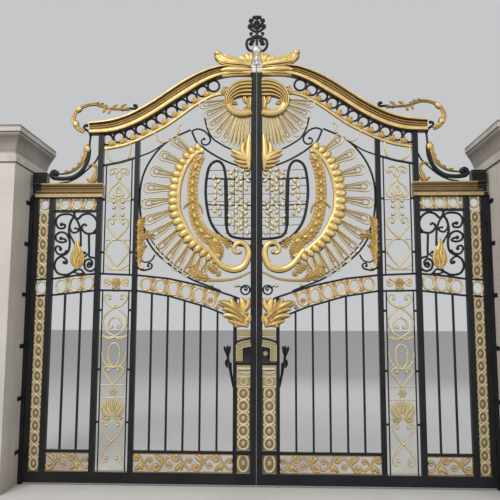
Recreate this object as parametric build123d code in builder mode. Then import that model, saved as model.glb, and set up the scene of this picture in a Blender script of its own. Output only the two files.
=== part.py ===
from build123d import *
import math
import os

os.makedirs("parts", exist_ok=True)

# Main sizes of the gateway, in millimetres.
half_opening = 2150.0  # pier face to the line where the leaves meet
arch_top = 3900.0  # highest line of the arched cornice above the ground
ground_gap = 20.0  # clear space under the leaves
meeting_gap = 8.0  # clear space between the two leaves

# Masonry piers.
pier_width = 600.0  # along the gateway
pier_depth = 750.0  # from the street to the yard
pier_nib = 405.0  # depth of the front part that carries the jamb post
pier_rebate = 120.0  # how far the back part stands away from the opening
shaft_height = 2870.0
cap_overhang = 60.0
neck_height = 72.0
neck_projection = 16.0
cove_inset = 5.0  # how far the hollow starts inside the shaft
cove_steps = ((40.0, 6.0), (70.0, 19.0), (84.0, 32.0))  # height and how far each step leans out
slab_height = 64.0
crown_inset = 15.0
crown_height = 34.0
crown_run = 193.0  # how far the weathered top leans in from its edge

# Iron members.
member_depth = 50.0  # front to back, all stiles and rails
jamb_width = 35.0
side_rail_height = 24.0
jamb_clearance = 8.0
hanging_width = 40.0
stile_width = 50.0
arch_stile_width = 45.0
lock_stile_width = 32.0
lock_depth = 40.0  # lock stile, front to back
bottom_rail_height = 97.0
low_rail_height = 26.0
bar_width = 18.0
thin_bar = 14.0
rail_thickness = 18.0
rail_depth = 20.0  # curved rails, front to back
low_rail_depth = 24.0
inner_rail_width = 38.0  # gilt rail under the arch
work_depth = 12.0  # black scrollwork, front to back
gilt_depth = 12.0  # gilt castings, front to back
crest_depth = 32.0
crown_leaf_depth = 36.0
cornice_height = 125.0
cornice_depth = 96.0
arch_depth = 110.0  # arched cornice, front to back
ring_bar = 18.0  # face width of the gilt rings
side_ring = 57.0  # outer radius of the rings between the lock rails
top_ring = 54.0  # outer radius of the rings under the side cornice
strand_width = 14.0  # woven strands of the gilt panel and the bottom band
strip_pitch = 150.0  # one link of a narrow strip
strip_margin = 18.0  # metal round the opening of a link
case_depth = 68.0  # lock case, front to back
grip_depth = 24.0

# Hinges and straps.
pin_radius = 8.0
pin_clearance = 2.0
knuckle_radius = 16.0
knuckle_height = 60.0
pin_setback = 50.0  # from the middle of the leaf to the pin, towards the yard
pin_end = 10.0  # how far a pin stands above its knuckle
bracket_height = 40.0
bracket_width = 24.0
lug_width = 26.0
hinge_levels = (330.0, 2330.0)
strap_levels = (290.0, 760.0, 1230.0, 1700.0, 2170.0, 2560.0)
strap_thickness = 8.0
strap_reach = 80.0
strap_height = 36.0

centre_line = half_opening + pier_width / 2
half_depth = member_depth / 2
wide = half_opening / 2150.0  # stretches the drawn layout sideways
tall = arch_top / 3900.0  # stretches the drawn layout upwards


# Turns layout points (sideways from the meeting line, height) into millimetres of this gate.
def drawn(points):
    return [(x * wide, z * tall) for x, z in points]


# Outline of a flat bar of even width that follows a line of points.
def ribbon(points, width):
    sides = ([], [])
    for i, (x, z) in enumerate(points):
        before = points[max(i - 1, 0)]
        after = points[min(i + 1, len(points) - 1)]
        a = math.atan2(z - before[1], x - before[0]) if i else None
        b = math.atan2(after[1] - z, after[0] - x) if i < len(points) - 1 else None
        if a is None:
            a = b
        if b is None:
            b = a
        turn = (b - a + math.pi) % (2 * math.pi) - math.pi
        middle = a + turn / 2
        reach = width / 2 / max(math.cos(turn / 2), 0.5)
        sides[0].append((x - reach * math.sin(middle), z + reach * math.cos(middle)))
        sides[1].append((x + reach * math.sin(middle), z - reach * math.cos(middle)))
    return sides[0] + sides[1][::-1]


# Eight-sided ring of flat bar on edge, held between two rails by a collar above and one below.
def collared_ring(x, low, high, radius):
    collar = 2 * radius * math.sin(math.pi / 8)
    with BuildSketch() as ring:
        with Locations((x, (low + high) / 2)):
            Rectangle(collar, high - low)
            RegularPolygon(radius, 8, rotation=22.5)
            RegularPolygon(radius - ring_bar, 8, rotation=22.5, mode=Mode.SUBTRACT)
    return ring.sketch


# Height of a line of points at one place.
def height_on(line, x):
    for (x1, z1), (x2, z2) in zip(line, line[1:]):
        if min(x1, x2) <= x <= max(x1, x2):
            return z1 + (z2 - z1) * (x - x1) / (x2 - x1)
    return line[0][1] if abs(x - line[0][0]) < abs(x - line[-1][0]) else line[-1][1]


# Part of a line of points between two places.
def stretch_of(line, start, end):
    inner = [p for p in line if min(start, end) < p[0] < max(start, end)]
    inner.sort(key=lambda p: p[0], reverse=start > end)
    return [(start, height_on(line, start))] + inner + [(end, height_on(line, end))]


# Two strands that weave round each other between the given crossings.
def strands(along, crossings, reach, upright):
    for side in (1, -1):
        points = []
        for i, (a, b) in enumerate(zip(crossings, crossings[1:])):
            points.append((0, a))
            points.append((side * reach * (1 if i % 2 == 0 else -1), (a + b) / 2))
        points.append((0, crossings[-1]))
        yield [(along + p, q) if upright else (q, along + p) for p, q in points]


# Puts one piece of the right leaf, and its mirror twin on the left leaf, into the gateway.
def hand_over(piece, name):
    right = piece.part.moved(Location((centre_line, 0, 0)))
    right.label = f"right_{name}"
    export_step(right, f"parts/right_{name}.step")
    left = mirror(right, about=Plane.YZ.offset(centre_line))
    left.label = f"left_{name}"
    export_step(left, f"parts/left_{name}.step")


# Places across one leaf, measured from the meeting line.
meeting_face = meeting_gap / 2 + stile_width
hanging_outer = half_opening - jamb_width - jamb_clearance
hanging_inner = hanging_outer - hanging_width
second_stile = 1937.0 * wide
tall_post = 1485.0 * wide
arch_stile = 1135.0 * wide
lock_stile = 196.0 * wide
second_outer = second_stile + stile_width / 2
second_inner = second_stile - stile_width / 2
post_outer = tall_post + stile_width / 2
post_inner = tall_post - stile_width / 2
arch_outer = arch_stile + arch_stile_width / 2
arch_inner = arch_stile - arch_stile_width / 2
lock_outer = lock_stile + lock_stile_width / 2
lock_inner = lock_stile - lock_stile_width / 2

# Heights.
bottom_rail_top = ground_gap + bottom_rail_height
low_rail_top = 306.0 * tall
low_rail_bottom = low_rail_top - low_rail_height
cornice_bottom = 2628.0 * tall
cornice_top = cornice_bottom + cornice_height
side_rail_top = 2502.0 * tall
side_rail_bottom = side_rail_top - side_rail_height

# Shaped lines of the leaf.
arch_upper = drawn([(50, 3900), (250, 3900), (390, 3890), (540, 3840), (680, 3770), (830, 3670),
                    (970, 3572), (1120, 3482), (1260, 3415), (1410, 3372), (1600, 3350)])
arch_lower = drawn([(50, 3808), (250, 3808), (390, 3778), (540, 3708), (680, 3615), (830, 3518),
                    (970, 3424), (1120, 3338), (1260, 3278), (1410, 3242), (1600, 3235)])
inner_line = drawn([(335, 3632), (440, 3605), (590, 3520), (730, 3420), (870, 3320), (1020, 3240),
                    (1140, 3180), (1300, 3125), (1470, 3095)])
panel_line = drawn([(1140, 3010), (1300, 2962), (1470, 2930)])
upper_lock_line = drawn([(50, 1615), (190, 1680), (310, 1720), (530, 1790), (820, 1852), (1120, 1884),
                         (1480, 1899), (1700, 1880), (1890, 1852), (2110, 1838)])
lower_lock_line = drawn([(190, 1448), (310, 1530), (460, 1590), (600, 1630), (810, 1690), (1110, 1738),
                         (1480, 1744), (1700, 1720), (1880, 1700), (2110, 1685)])

inner_rail = ribbon(inner_line, inner_rail_width)
panel_rail = ribbon(panel_line, rail_thickness)
upper_lock_rail = ribbon(upper_lock_line, rail_thickness)
lower_lock_rail = ribbon(lower_lock_line, rail_thickness)
arch_outline = arch_upper + arch_lower[::-1]
above_everything = 4500.0 * tall
above_inner = (inner_rail[len(inner_line):][::-1]
               + [(post_outer + stile_width, above_everything), (0, above_everything)])
above_panel = (panel_rail[len(panel_line):][::-1]
               + [(panel_line[-1][0], above_everything), (panel_line[0][0], above_everything)])
above_arch = ([(0, arch_lower[0][1])] + arch_lower
              + [(arch_lower[-1][0], above_everything), (0, above_everything)])
above_lower_lock = (lower_lock_rail[len(lower_lock_line):][::-1]
                    + [(lower_lock_line[-1][0], above_everything), (0, above_everything)])
above_upper_lock = (upper_lock_rail[len(upper_lock_line):][::-1]
                    + [(upper_lock_line[-1][0], above_everything), (0, above_everything)])


# Outline of the moulded cap seen square on, over a pier face of the given width.
def cap_outline(width):
    half = width / 2
    level = shaft_height + neck_height
    spread = -cove_inset
    edge = [(half + neck_projection, shaft_height), (half + neck_projection, level), (half + spread, level)]
    for rise, lean in cove_steps:
        level += rise
        spread += lean
        edge.append((half + spread, level))
    crown_spread = cap_overhang - crown_inset
    edge += [(half + cap_overhang, level), (half + cap_overhang, level + slab_height),
             (half + crown_spread, level + slab_height),
             (half + crown_spread - crown_run, level + slab_height + crown_height)]
    return edge + [(-x, z) for x, z in edge[::-1]]


# Masonry piers: a shaft with a rebate behind the gate, and a moulded cap.
with BuildPart() as pier_shaft:
    with BuildSketch(Plane.XY):
        with Locations((-pier_rebate / 2, 0)):
            Rectangle(pier_width - pier_rebate, pier_depth)
        with Locations((0, -pier_depth / 2 + pier_nib / 2)):
            Rectangle(pier_width, pier_nib)
    extrude(amount=shaft_height)
pier_shaft.part.label = "left_pier"
export_step(pier_shaft.part, "parts/left_pier.step")
right_pier = mirror(pier_shaft.part, about=Plane.YZ.offset(centre_line))
right_pier.label = "right_pier"
export_step(right_pier, "parts/right_pier.step")

with BuildPart() as pier_cap:
    with BuildSketch(Plane.XZ):
        Polygon(*cap_outline(pier_width), align=None)
    extrude(amount=pier_depth, both=True)
    with BuildSketch(Plane.YZ):
        Polygon(*cap_outline(pier_depth), align=None)
    extrude(amount=pier_width, both=True, mode=Mode.INTERSECT)
pier_cap.part.label = "left_pier_cap"
export_step(pier_cap.part, "parts/left_pier_cap.step")
right_pier_cap = mirror(pier_cap.part, about=Plane.YZ.offset(centre_line))
right_pier_cap.label = "right_pier_cap"
export_step(right_pier_cap, "parts/right_pier_cap.step")

# Jamb post: carries the hinge pins and is strapped to the face of the pier.
pin_x = hanging_outer + jamb_clearance / 2
jamb_inner = half_opening - jamb_width
with BuildPart() as jamb_post:
    with Locations(((half_opening + jamb_inner) / 2, 0, 0)):
        Box(jamb_width, member_depth, cornice_bottom - jamb_clearance,
            align=(Align.CENTER, Align.CENTER, Align.MIN))
    for level in strap_levels:
        with Locations((half_opening, -half_depth, level * tall)):
            Box(strap_thickness, strap_reach, strap_height, align=(Align.MAX, Align.MAX, Align.CENTER))
    for level in hinge_levels:
        foot = level * tall
        with Locations((half_opening, half_depth, foot)):
            Box(jamb_width, pin_setback - half_depth + bracket_width / 2, bracket_height,
                align=(Align.MAX, Align.MIN, Align.MAX))
        with Locations((pin_x, pin_setback, foot)):
            Box(bracket_width, bracket_width, bracket_height, align=(Align.CENTER, Align.CENTER, Align.MAX))
            Cylinder(pin_radius, knuckle_height + pin_end, align=(Align.CENTER, Align.CENTER, Align.MIN))
hand_over(jamb_post, "jamb_post")

# Hanging stile with the bored knuckles that turn on the pins.
with BuildPart() as hanging_stile:
    with Locations(((hanging_outer + hanging_inner) / 2, 0, ground_gap)):
        Box(hanging_width, member_depth, cornice_bottom - ground_gap,
            align=(Align.CENTER, Align.CENTER, Align.MIN))
    for level in hinge_levels:
        foot = level * tall
        with Locations((hanging_outer, half_depth, foot)):
            Box(lug_width, pin_setback - half_depth, knuckle_height, align=(Align.MAX, Align.MIN, Align.MIN))
        with BuildSketch(Plane.XY.offset(foot)):
            with Locations((pin_x, pin_setback)):
                RegularPolygon(knuckle_radius, 8)
        extrude(amount=knuckle_height)
        with Locations((pin_x, pin_setback, foot)):
            Cylinder(pin_radius + pin_clearance, knuckle_height,
                     align=(Align.CENTER, Align.CENTER, Align.MIN), mode=Mode.SUBTRACT)
hand_over(hanging_stile, "hanging_stile")

# Second stile, tall post and arch stile, with the short rail that closes the gilt panel.
with BuildPart() as uprights:
    with BuildSketch(Plane.XZ):
        with Locations((second_stile, bottom_rail_top)):
            Rectangle(stile_width, cornice_bottom - bottom_rail_top, align=(Align.CENTER, Align.MIN))
        with Locations((tall_post, bottom_rail_top)):
            Rectangle(stile_width, above_everything - bottom_rail_top, align=(Align.CENTER, Align.MIN))
        with Locations((arch_stile, bottom_rail_top)):
            Rectangle(arch_stile_width, above_everything - bottom_rail_top, align=(Align.CENTER, Align.MIN))
        Polygon(*above_arch, align=None, mode=Mode.SUBTRACT)
        with BuildSketch(mode=Mode.SUBTRACT):
            with Locations((arch_stile, 2500 * tall)):
                Rectangle(arch_stile_width, 2000 * tall, align=(Align.CENTER, Align.MIN))
            Polygon(*above_inner, align=None, mode=Mode.INTERSECT)
    extrude(amount=half_depth, both=True)
    with BuildSketch(Plane.XZ):
        Polygon(*panel_rail, align=None)
        with Locations(((arch_outer + post_inner) / 2, 0)):
            Rectangle(post_inner - arch_outer, above_everything, align=(Align.CENTER, Align.MIN),
                      mode=Mode.INTERSECT)
    extrude(amount=rail_depth / 2, both=True)
hand_over(uprights, "uprights")

# Lock stile beside the meeting stile.
with BuildPart() as lock_post:
    with BuildSketch(Plane.XZ):
        with Locations((lock_stile, bottom_rail_top)):
            Rectangle(lock_stile_width, above_everything - bottom_rail_top, align=(Align.CENTER, Align.MIN))
        Polygon(*above_upper_lock, align=None, mode=Mode.SUBTRACT)
    extrude(amount=lock_depth / 2, both=True)
hand_over(lock_post, "lock_stile")

# Meeting stile, full height.
with BuildPart() as meeting_stile:
    with Locations(((meeting_gap / 2 + meeting_face) / 2, 0, ground_gap)):
        Box(stile_width, member_depth, arch_top - ground_gap, align=(Align.CENTER, Align.CENTER, Align.MIN))
hand_over(meeting_stile, "meeting_stile")

# Bottom rail.
with BuildPart() as bottom_rail:
    with Locations(((meeting_face + hanging_inner) / 2, 0, ground_gap)):
        Box(hanging_inner - meeting_face, member_depth, bottom_rail_height,
            align=(Align.CENTER, Align.CENTER, Align.MIN))
hand_over(bottom_rail, "bottom_rail")

# Openings between neighbouring uprights, from the meeting stile outwards.
bays = ((meeting_face, lock_inner), (lock_outer, arch_inner), (arch_outer, post_inner),
        (post_outer, second_inner), (second_outer, hanging_inner))

# Low rail, one length in each of the two wide bays.
with BuildPart() as low_rail:
    for start, end in (bays[1], bays[3]):
        with Locations(((start + end) / 2, 0, low_rail_bottom)):
            Box(end - start, low_rail_depth, low_rail_height, align=(Align.CENTER, Align.CENTER, Align.MIN))
hand_over(low_rail, "low_rail")

# Curved lock rails, upper and lower.
with BuildPart() as lock_rails:
    with BuildSketch(Plane.XZ):
        Polygon(*upper_lock_rail, align=None)
        Polygon(*lower_lock_rail, align=None)
        for start, end in ((second_inner, second_outer), (post_inner, post_outer), (arch_inner, arch_outer)):
            with Locations(((start + end) / 2, 0)):
                Rectangle(end - start, above_everything, align=(Align.CENTER, Align.MIN), mode=Mode.SUBTRACT)
        with Locations((lock_outer, 0)):
            Rectangle(lock_outer, upper_lock_line[0][1] - rail_thickness, align=(Align.MAX, Align.MIN),
                      mode=Mode.SUBTRACT)
        with Locations(((meeting_face + hanging_inner) / 2, 0)):
            Rectangle(hanging_inner - meeting_face, above_everything, align=(Align.CENTER, Align.MIN),
                      mode=Mode.INTERSECT)
    extrude(amount=rail_depth / 2, both=True)
hand_over(lock_rails, "lock_rails")

# Plain bars under the lock rails.
bar_places = (358, 513, 665, 819, 970)
side_bar_places = (1635, 1784)
with BuildPart() as bars:
    with BuildSketch(Plane.XZ):
        for place in bar_places:
            with Locations((place * wide, low_rail_top)):
                Rectangle(bar_width, above_everything - low_rail_top, align=(Align.CENTER, Align.MIN))
        Polygon(*above_lower_lock, align=None, mode=Mode.SUBTRACT)
    extrude(amount=bar_width / 2, both=True)
hand_over(bars, "bars")

# Side panel: two plain bars below, black scrollwork and a flame leaf above.
side_middle = (post_outer + second_inner) / 2
side_scrolls = (
    ([(1728, 2470), (1728, 2440), (1768, 2330), (1760, 2165), (1883, 2030), (1896, 1961), (1850, 1898),
      (1769, 1882), (1698, 1932), (1605, 1880)], 13),
    ([(1728, 2440), (1773, 2464), (1854, 2460), (1896, 2415), (1893, 2362), (1850, 2328), (1810, 2350)], 13),
    ([(1728, 2440), (1688, 2385), (1654, 2155)], 12),
    ([(1728, 2440), (1648, 2455), (1583, 2468), (1523, 2430), (1501, 2355), (1534, 2285), (1600, 2273),
      (1650, 2315), (1620, 2360)], 13),
    ([(1765, 2225), (1793, 2275), (1850, 2293), (1900, 2265)], 12),
    ([(1765, 2140), (1812, 2085), (1865, 2078), (1900, 2110)], 12),
    ([(1848, 2070), (1785, 2025), (1815, 1985)], 12),
    ([(1579, 2280), (1571, 2060), (1503, 2030), (1500, 1959), (1545, 1920), (1600, 1938), (1615, 1985),
      (1575, 2022)], 13),
)
flame_leaf = [(1690, 2225), (1712, 2140), (1724, 2010), (1706, 1930), (1655, 1930), (1640, 2030),
              (1656, 2140)]
under_side_field = stretch_of(upper_lock_line, post_outer, second_inner)
under_side_field += [(second_inner, 0), (post_outer, 0)]
with BuildPart() as side_panel:
    with BuildSketch(Plane.XZ):
        for place in side_bar_places:
            with Locations((place * wide, low_rail_top)):
                Rectangle(bar_width, above_everything - low_rail_top, align=(Align.CENTER, Align.MIN))
        Polygon(*above_lower_lock, align=None, mode=Mode.SUBTRACT)
    extrude(amount=bar_width / 2, both=True)
    with Locations((side_middle, 0, side_rail_bottom)):
        Box(second_inner - post_outer, low_rail_depth, side_rail_top - side_rail_bottom,
            align=(Align.CENTER, Align.CENTER, Align.MIN))
    with BuildSketch(Plane.XZ):
        for line, width in side_scrolls:
            Polygon(*ribbon(drawn(line), width), align=None)
        Polygon(*drawn(flame_leaf), align=None)
        Polygon(*under_side_field, align=None, mode=Mode.SUBTRACT)
        Polygon(*upper_lock_rail, align=None, mode=Mode.SUBTRACT)
        with Locations((side_middle, side_rail_bottom)):
            Rectangle(second_inner - post_outer, side_rail_bottom, align=(Align.CENTER, Align.MAX),
                      mode=Mode.INTERSECT)
    extrude(amount=work_depth / 2, both=True)
hand_over(side_panel, "side_panel")

# Moulded cornice over the side panel, let in round the tall post: a fillet, a hollow and a lower fillet.
cornice_lap = 8.0  # past the tall post, towards the arch
cornice_overhang = 18.0  # past the hanging stile
cornice_inner = post_inner - cornice_lap
cornice_outer = hanging_outer + cornice_overhang
upper_fillet = 36.0
lower_fillet = 40.0
fillet_foot = 12.0  # how far the lower fillet stands above the foot of the cornice
hollow_inset = 12.0
with BuildPart() as side_cornice:
    with BuildSketch(Plane.XZ):
        with Locations(((cornice_inner + cornice_outer) / 2, cornice_bottom)):
            Rectangle(cornice_outer - cornice_inner - 2 * hollow_inset, cornice_height,
                      align=(Align.CENTER, Align.MIN))
    extrude(amount=cornice_depth / 2 - hollow_inset, both=True)
    with BuildSketch(Plane.XZ):
        with Locations(((cornice_inner + cornice_outer) / 2, cornice_top)):
            Rectangle(cornice_outer - cornice_inner, upper_fillet, align=(Align.CENTER, Align.MAX))
        with Locations(((cornice_inner + cornice_outer) / 2, cornice_bottom + fillet_foot)):
            Rectangle(cornice_outer - cornice_inner, lower_fillet, align=(Align.CENTER, Align.MIN))
    extrude(amount=cornice_depth / 2, both=True)
    with Locations((tall_post, 0, cornice_bottom)):
        Box(stile_width, member_depth, cornice_height, align=(Align.CENTER, Align.CENTER, Align.MIN),
            mode=Mode.SUBTRACT)
hand_over(side_cornice, "side_cornice")

# Arched cornice in three stepped mouldings, with the gilt crown leaf on its top.
arch_tiers = ((0.0, 0.3, 0.42), (0.3, 0.62, 0.3), (0.62, 1.0, 0.5))  # foot, top and reach, as shares
crown_leaf = [(60, 3895), (100, 3965), (160, 3950), (215, 3925), (270, 3935), (310, 4020), (368, 4072),
              (416, 4045), (380, 3990), (335, 3925), (240, 3890)]
with BuildPart() as arch_cornice:
    for foot, top, reach in arch_tiers:
        with BuildSketch(Plane.XZ):
            edges = list(zip(arch_lower, arch_upper))
            lower_edge = [(x, low + (high - low) * foot) for (x, low), (_, high) in edges]
            upper_edge = [(x, low + (high - low) * top) for (x, low), (_, high) in edges]
            Polygon(*(lower_edge + upper_edge[::-1]), align=None)
            with Locations((meeting_face, 0)):
                Rectangle(half_opening, above_everything, align=(Align.MIN, Align.MIN), mode=Mode.INTERSECT)
        extrude(amount=arch_depth * reach, both=True)
    with BuildSketch(Plane.XZ):
        Polygon(*drawn(crown_leaf), align=None)
        Polygon(*arch_outline, align=None, mode=Mode.SUBTRACT)
        with Locations((meeting_face, 0)):
            Rectangle(half_opening, above_everything, align=(Align.MIN, Align.MIN), mode=Mode.INTERSECT)
    extrude(amount=crown_leaf_depth / 2, both=True)
hand_over(arch_cornice, "arch_cornice")

# Gilt scroll panel between the tall post and the arch stile: two thin bars, clips and woven strands.
panel_middle = (arch_outer + post_inner) / 2
clip_reach = 28.0  # from a thin bar's middle line to the stile
panel_reach = (post_inner - arch_outer) / 2 - clip_reach
clip_levels = (560, 2600)
clip_height = 22.0
panel_crossings = ((100, 380, 618, 876, 1038, 1246, 1475, 1740), (1905, 2231, 2412, 2613, 2790, 2990))
with BuildPart() as scroll_panel:
    with BuildSketch(Plane.XZ):
        for side in (1, -1):
            with Locations((panel_middle + side * panel_reach, bottom_rail_top)):
                Rectangle(thin_bar, above_everything - bottom_rail_top, align=(Align.CENTER, Align.MIN))
            for level in clip_levels:
                with Locations((panel_middle + side * (panel_reach + clip_reach / 2), level * tall)):
                    Rectangle(clip_reach, clip_height)
        for crossings in panel_crossings:
            levels = [z * tall for z in crossings]
            for line in strands(panel_middle, levels, panel_reach - thin_bar, True):
                Polygon(*ribbon(line, strand_width), align=None)
        Polygon(*upper_lock_rail, align=None, mode=Mode.SUBTRACT)
        Polygon(*lower_lock_rail, align=None, mode=Mode.SUBTRACT)
        Polygon(*above_panel, align=None, mode=Mode.SUBTRACT)
        with Locations((panel_middle, bottom_rail_top)):
            Rectangle(post_inner - arch_outer, above_everything, align=(Align.CENTER, Align.MIN),
                      mode=Mode.INTERSECT)
    extrude(amount=gilt_depth / 2, both=True)
hand_over(scroll_panel, "scroll_panel")

# Gilt inner rail under the arch, with the rings between the two.
band_places = (400, 514, 628, 742, 856, 970, 1084, 1198, 1312, 1426)
band_ring = 0.5  # outer radius of a ring as a share of the clear height
with BuildPart() as arch_band:
    with BuildSketch(Plane.XZ):
        Polygon(*inner_rail, align=None)
        for place in band_places:
            x = place * wide
            foot = height_on(inner_line, x) + inner_rail_width / 2
            top = height_on(arch_lower, x)
            with Locations((x, (foot + top) / 2)):
                RegularPolygon((top - foot) * band_ring, 6)
                RegularPolygon((top - foot) * band_ring - ring_bar, 6, mode=Mode.SUBTRACT)
        Polygon(*above_arch, align=None, mode=Mode.SUBTRACT)
        with Locations((post_inner, 0)):
            Rectangle(half_opening, above_everything, align=(Align.MAX, Align.MIN), mode=Mode.INTERSECT)
    extrude(amount=gilt_depth, both=True)
hand_over(arch_band, "arch_band")

# Black wrought scrolls of the arch field: the big hoop, the arcs and the lyre.
iron_lines = (
    ([(430, 1782), (610, 1850), (800, 1975), (970, 2130), (1075, 2340), (1108, 2600), (1060, 2880),
      (900, 3120), (660, 3265), (400, 3330)], 14),
    ([(500, 3060), (690, 2935), (770, 2640), (735, 2400), (560, 2160), (300, 2010)], 10),
    ([(505, 3190), (480, 3143), (442, 3195), (480, 3242), (560, 3268), (615, 3235), (575, 3160), (440, 3050),
      (200, 2930), (50, 2880)], 12),
    ([(620, 3272), (520, 3275), (420, 3190), (360, 3150), (220, 3070), (50, 3050)], 12),
    ([(50, 2225), (180, 2235), (280, 2280), (305, 2580), (320, 2920), (390, 2970), (465, 2900), (480, 2590),
      (440, 2410), (370, 2290), (270, 2210), (50, 2160)], 13),
    ([(1112, 1960), (1020, 1985), (965, 2030), (975, 1960), (1080, 1935)], 12),
    ([(50, 1830), (120, 1850), (180, 1810), (150, 1750), (110, 1760)], 10),
)
under_field = stretch_of(upper_lock_line, meeting_face, arch_inner) + [(arch_inner, 0), (meeting_face, 0)]
with BuildPart() as hoop_scrolls:
    with BuildSketch(Plane.XZ):
        for line, width in iron_lines:
            Polygon(*ribbon(drawn(line), width), align=None)
        Polygon(*above_inner, align=None, mode=Mode.SUBTRACT)
        Polygon(*under_field, align=None, mode=Mode.SUBTRACT)
        Polygon(*upper_lock_rail, align=None, mode=Mode.SUBTRACT)
        with Locations(((meeting_face + arch_inner) / 2, 0)):
            Rectangle(arch_inner - meeting_face, above_everything, align=(Align.CENTER, Align.MIN),
                      mode=Mode.INTERSECT)
    extrude(amount=work_depth / 2, both=True)
hand_over(hoop_scrolls, "hoop_scrolls")

# Gilt wreath on the front of the scrolls: a beaded ring, a leafy band and the fan of loops round them.
ring_line = drawn([(500, 3060), (610, 3010), (700, 2920), (765, 2730), (765, 2520), (710, 2350), (560, 2160),
                   (440, 2075), (300, 2010)])
band_line = drawn([(500, 2985), (570, 2880), (620, 2750), (640, 2620), (625, 2430), (540, 2300), (430, 2235),
                   (300, 2175), (170, 2140)])
tip_line = drawn([(600, 3262), (790, 3170), (920, 3050), (1010, 2890), (1075, 2730), (1085, 2560),
                  (1050, 2410), (980, 2230), (870, 2060), (730, 1930), (570, 1880), (420, 1880)])


# Place on a line of points at a share of its length.
def share_of(line, share):
    lengths = [math.dist(a, b) for a, b in zip(line, line[1:])]
    left = share * sum(lengths)
    for (a, b), length in zip(zip(line, line[1:]), lengths):
        if left <= length:
            return (a[0] + (b[0] - a[0]) * left / length, a[1] + (b[1] - a[1]) * left / length)
        left -= length
    return line[-1]


# Outline of a pointed loop from a root to a tip, and the opening inside it.
def loop_outlines(root, tip):
    dx, dz = tip[0] - root[0], tip[1] - root[1]
    length = math.hypot(dx, dz)
    for share in (1.0, 1.0 - loop_bar / loop_reach):
        points = []
        for along, out in ((0.0, 0.0), (loop_widest, 1.0), (1.0, 0.0), (loop_widest, -1.0)):
            forward = loop_widest + (along - loop_widest) * share
            sideways = out * share * loop_reach / length
            points.append((root[0] + dx * forward - dz * sideways, root[1] + dz * forward + dx * sideways))
        yield points


loop_count = 11
loop_reach = 46.0  # half the width of a loop
loop_widest = 0.8  # where a loop is widest, as a share of its length
loop_bar = 13.0
bead_width = 58.0
leaf_band_width = 72.0
wreath_leaves = (
    ([(560, 1862), (420, 1838), (230, 1855), (50, 1915)], 34),
    ([(320, 2170), (372, 2060), (300, 1960), (170, 1965), (80, 2080), (150, 2110), (190, 2060)], 46),
    ([(1100, 2400), (1010, 2300), (955, 2210), (990, 2060), (1085, 1950)], 40),
    ([(50, 3000), (120, 3005), (185, 3045), (235, 3105)], 50),
)
with BuildPart() as wreath:
    with BuildSketch(Plane.XZ.offset(work_depth / 2)):
        for i in range(loop_count):
            share = (i + 0.5) / loop_count
            outside, opening = loop_outlines(share_of(ring_line, share), share_of(tip_line, share))
            Polygon(*outside, align=None)
            Polygon(*opening, align=None, mode=Mode.SUBTRACT)
        Polygon(*ribbon(ring_line, bead_width), align=None)
        Polygon(*ribbon(band_line, leaf_band_width), align=None)
        for line, width in wreath_leaves:
            Polygon(*ribbon(drawn(line), width), align=None)
        Polygon(*under_field, align=None, mode=Mode.SUBTRACT)
        Polygon(*upper_lock_rail, align=None, mode=Mode.SUBTRACT)
        with Locations(((meeting_face + arch_inner) / 2, 0)):
            Rectangle(arch_inner - meeting_face, above_everything, align=(Align.CENTER, Align.MIN),
                      mode=Mode.INTERSECT)
    extrude(amount=gilt_depth)
hand_over(wreath, "wreath")

# Gilt half shell under the crown of the arch, with its own small fan of loops.
shell_outline = [(50, 3806), (160, 3800), (245, 3775), (312, 3715), (335, 3640), (305, 3560), (240, 3485),
                 (160, 3440), (50, 3440)]
fan_loops = (((200, 3560), (545, 3520)), ((190, 3530), (505, 3400)), ((170, 3500), (415, 3300)),
             ((140, 3480), (315, 3205)), ((110, 3460), (182, 3130)))
with BuildPart() as shell_fan:
    with BuildSketch(Plane.XZ.offset(work_depth / 2)):
        for root, tip in fan_loops:
            outside, opening = loop_outlines(*drawn([root, tip]))
            Polygon(*outside, align=None)
            Polygon(*opening, align=None, mode=Mode.SUBTRACT)
        Polygon(*drawn(shell_outline), align=None)
        Polygon(*above_inner, align=None, mode=Mode.SUBTRACT)
        with Locations((meeting_face, 0)):
            Rectangle(half_opening, arch_lower[0][1], align=(Align.MIN, Align.MIN), mode=Mode.INTERSECT)
    extrude(amount=gilt_depth)
hand_over(shell_fan, "shell_fan")

# Gilt rings between the lock rails and under the side cornice, with the acanthus at the meeting stile.
field_rings = (430, 540, 656, 773, 893, 1020)
side_rings = (1571, 1694, 1824)
outer_ring = (second_outer + hanging_inner) / 2
acanthus = [(54, 1690), (250, 1740), (320, 1700), (290, 1610), (320, 1560), (270, 1445), (160, 1375),
            (54, 1400)]
with BuildPart() as ring_row:
    with BuildSketch(Plane.XZ):
        for x in [place * wide for place in field_rings + side_rings] + [outer_ring]:
            foot = height_on(lower_lock_line, x)
            top = height_on(upper_lock_line, x)
            add(collared_ring(x, foot, top, side_ring))
        for x in [place * wide for place in side_rings] + [outer_ring]:
            add(collared_ring(x, side_rail_top, cornice_bottom, top_ring))
        Polygon(*upper_lock_rail, align=None, mode=Mode.SUBTRACT)
        Polygon(*lower_lock_rail, align=None, mode=Mode.SUBTRACT)
        with BuildSketch(mode=Mode.INTERSECT):
            for start, end in (bays[1], bays[3], bays[4]):
                with Locations(((start + end) / 2, cornice_bottom)):
                    Rectangle(end - start, cornice_bottom, align=(Align.CENTER, Align.MAX))
    extrude(amount=gilt_depth / 2, both=True)
    with BuildSketch(Plane.XZ.offset(lock_depth / 2)):
        Polygon(*drawn(acanthus), align=None)
    extrude(amount=gilt_depth)
hand_over(ring_row, "ring_row")

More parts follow.
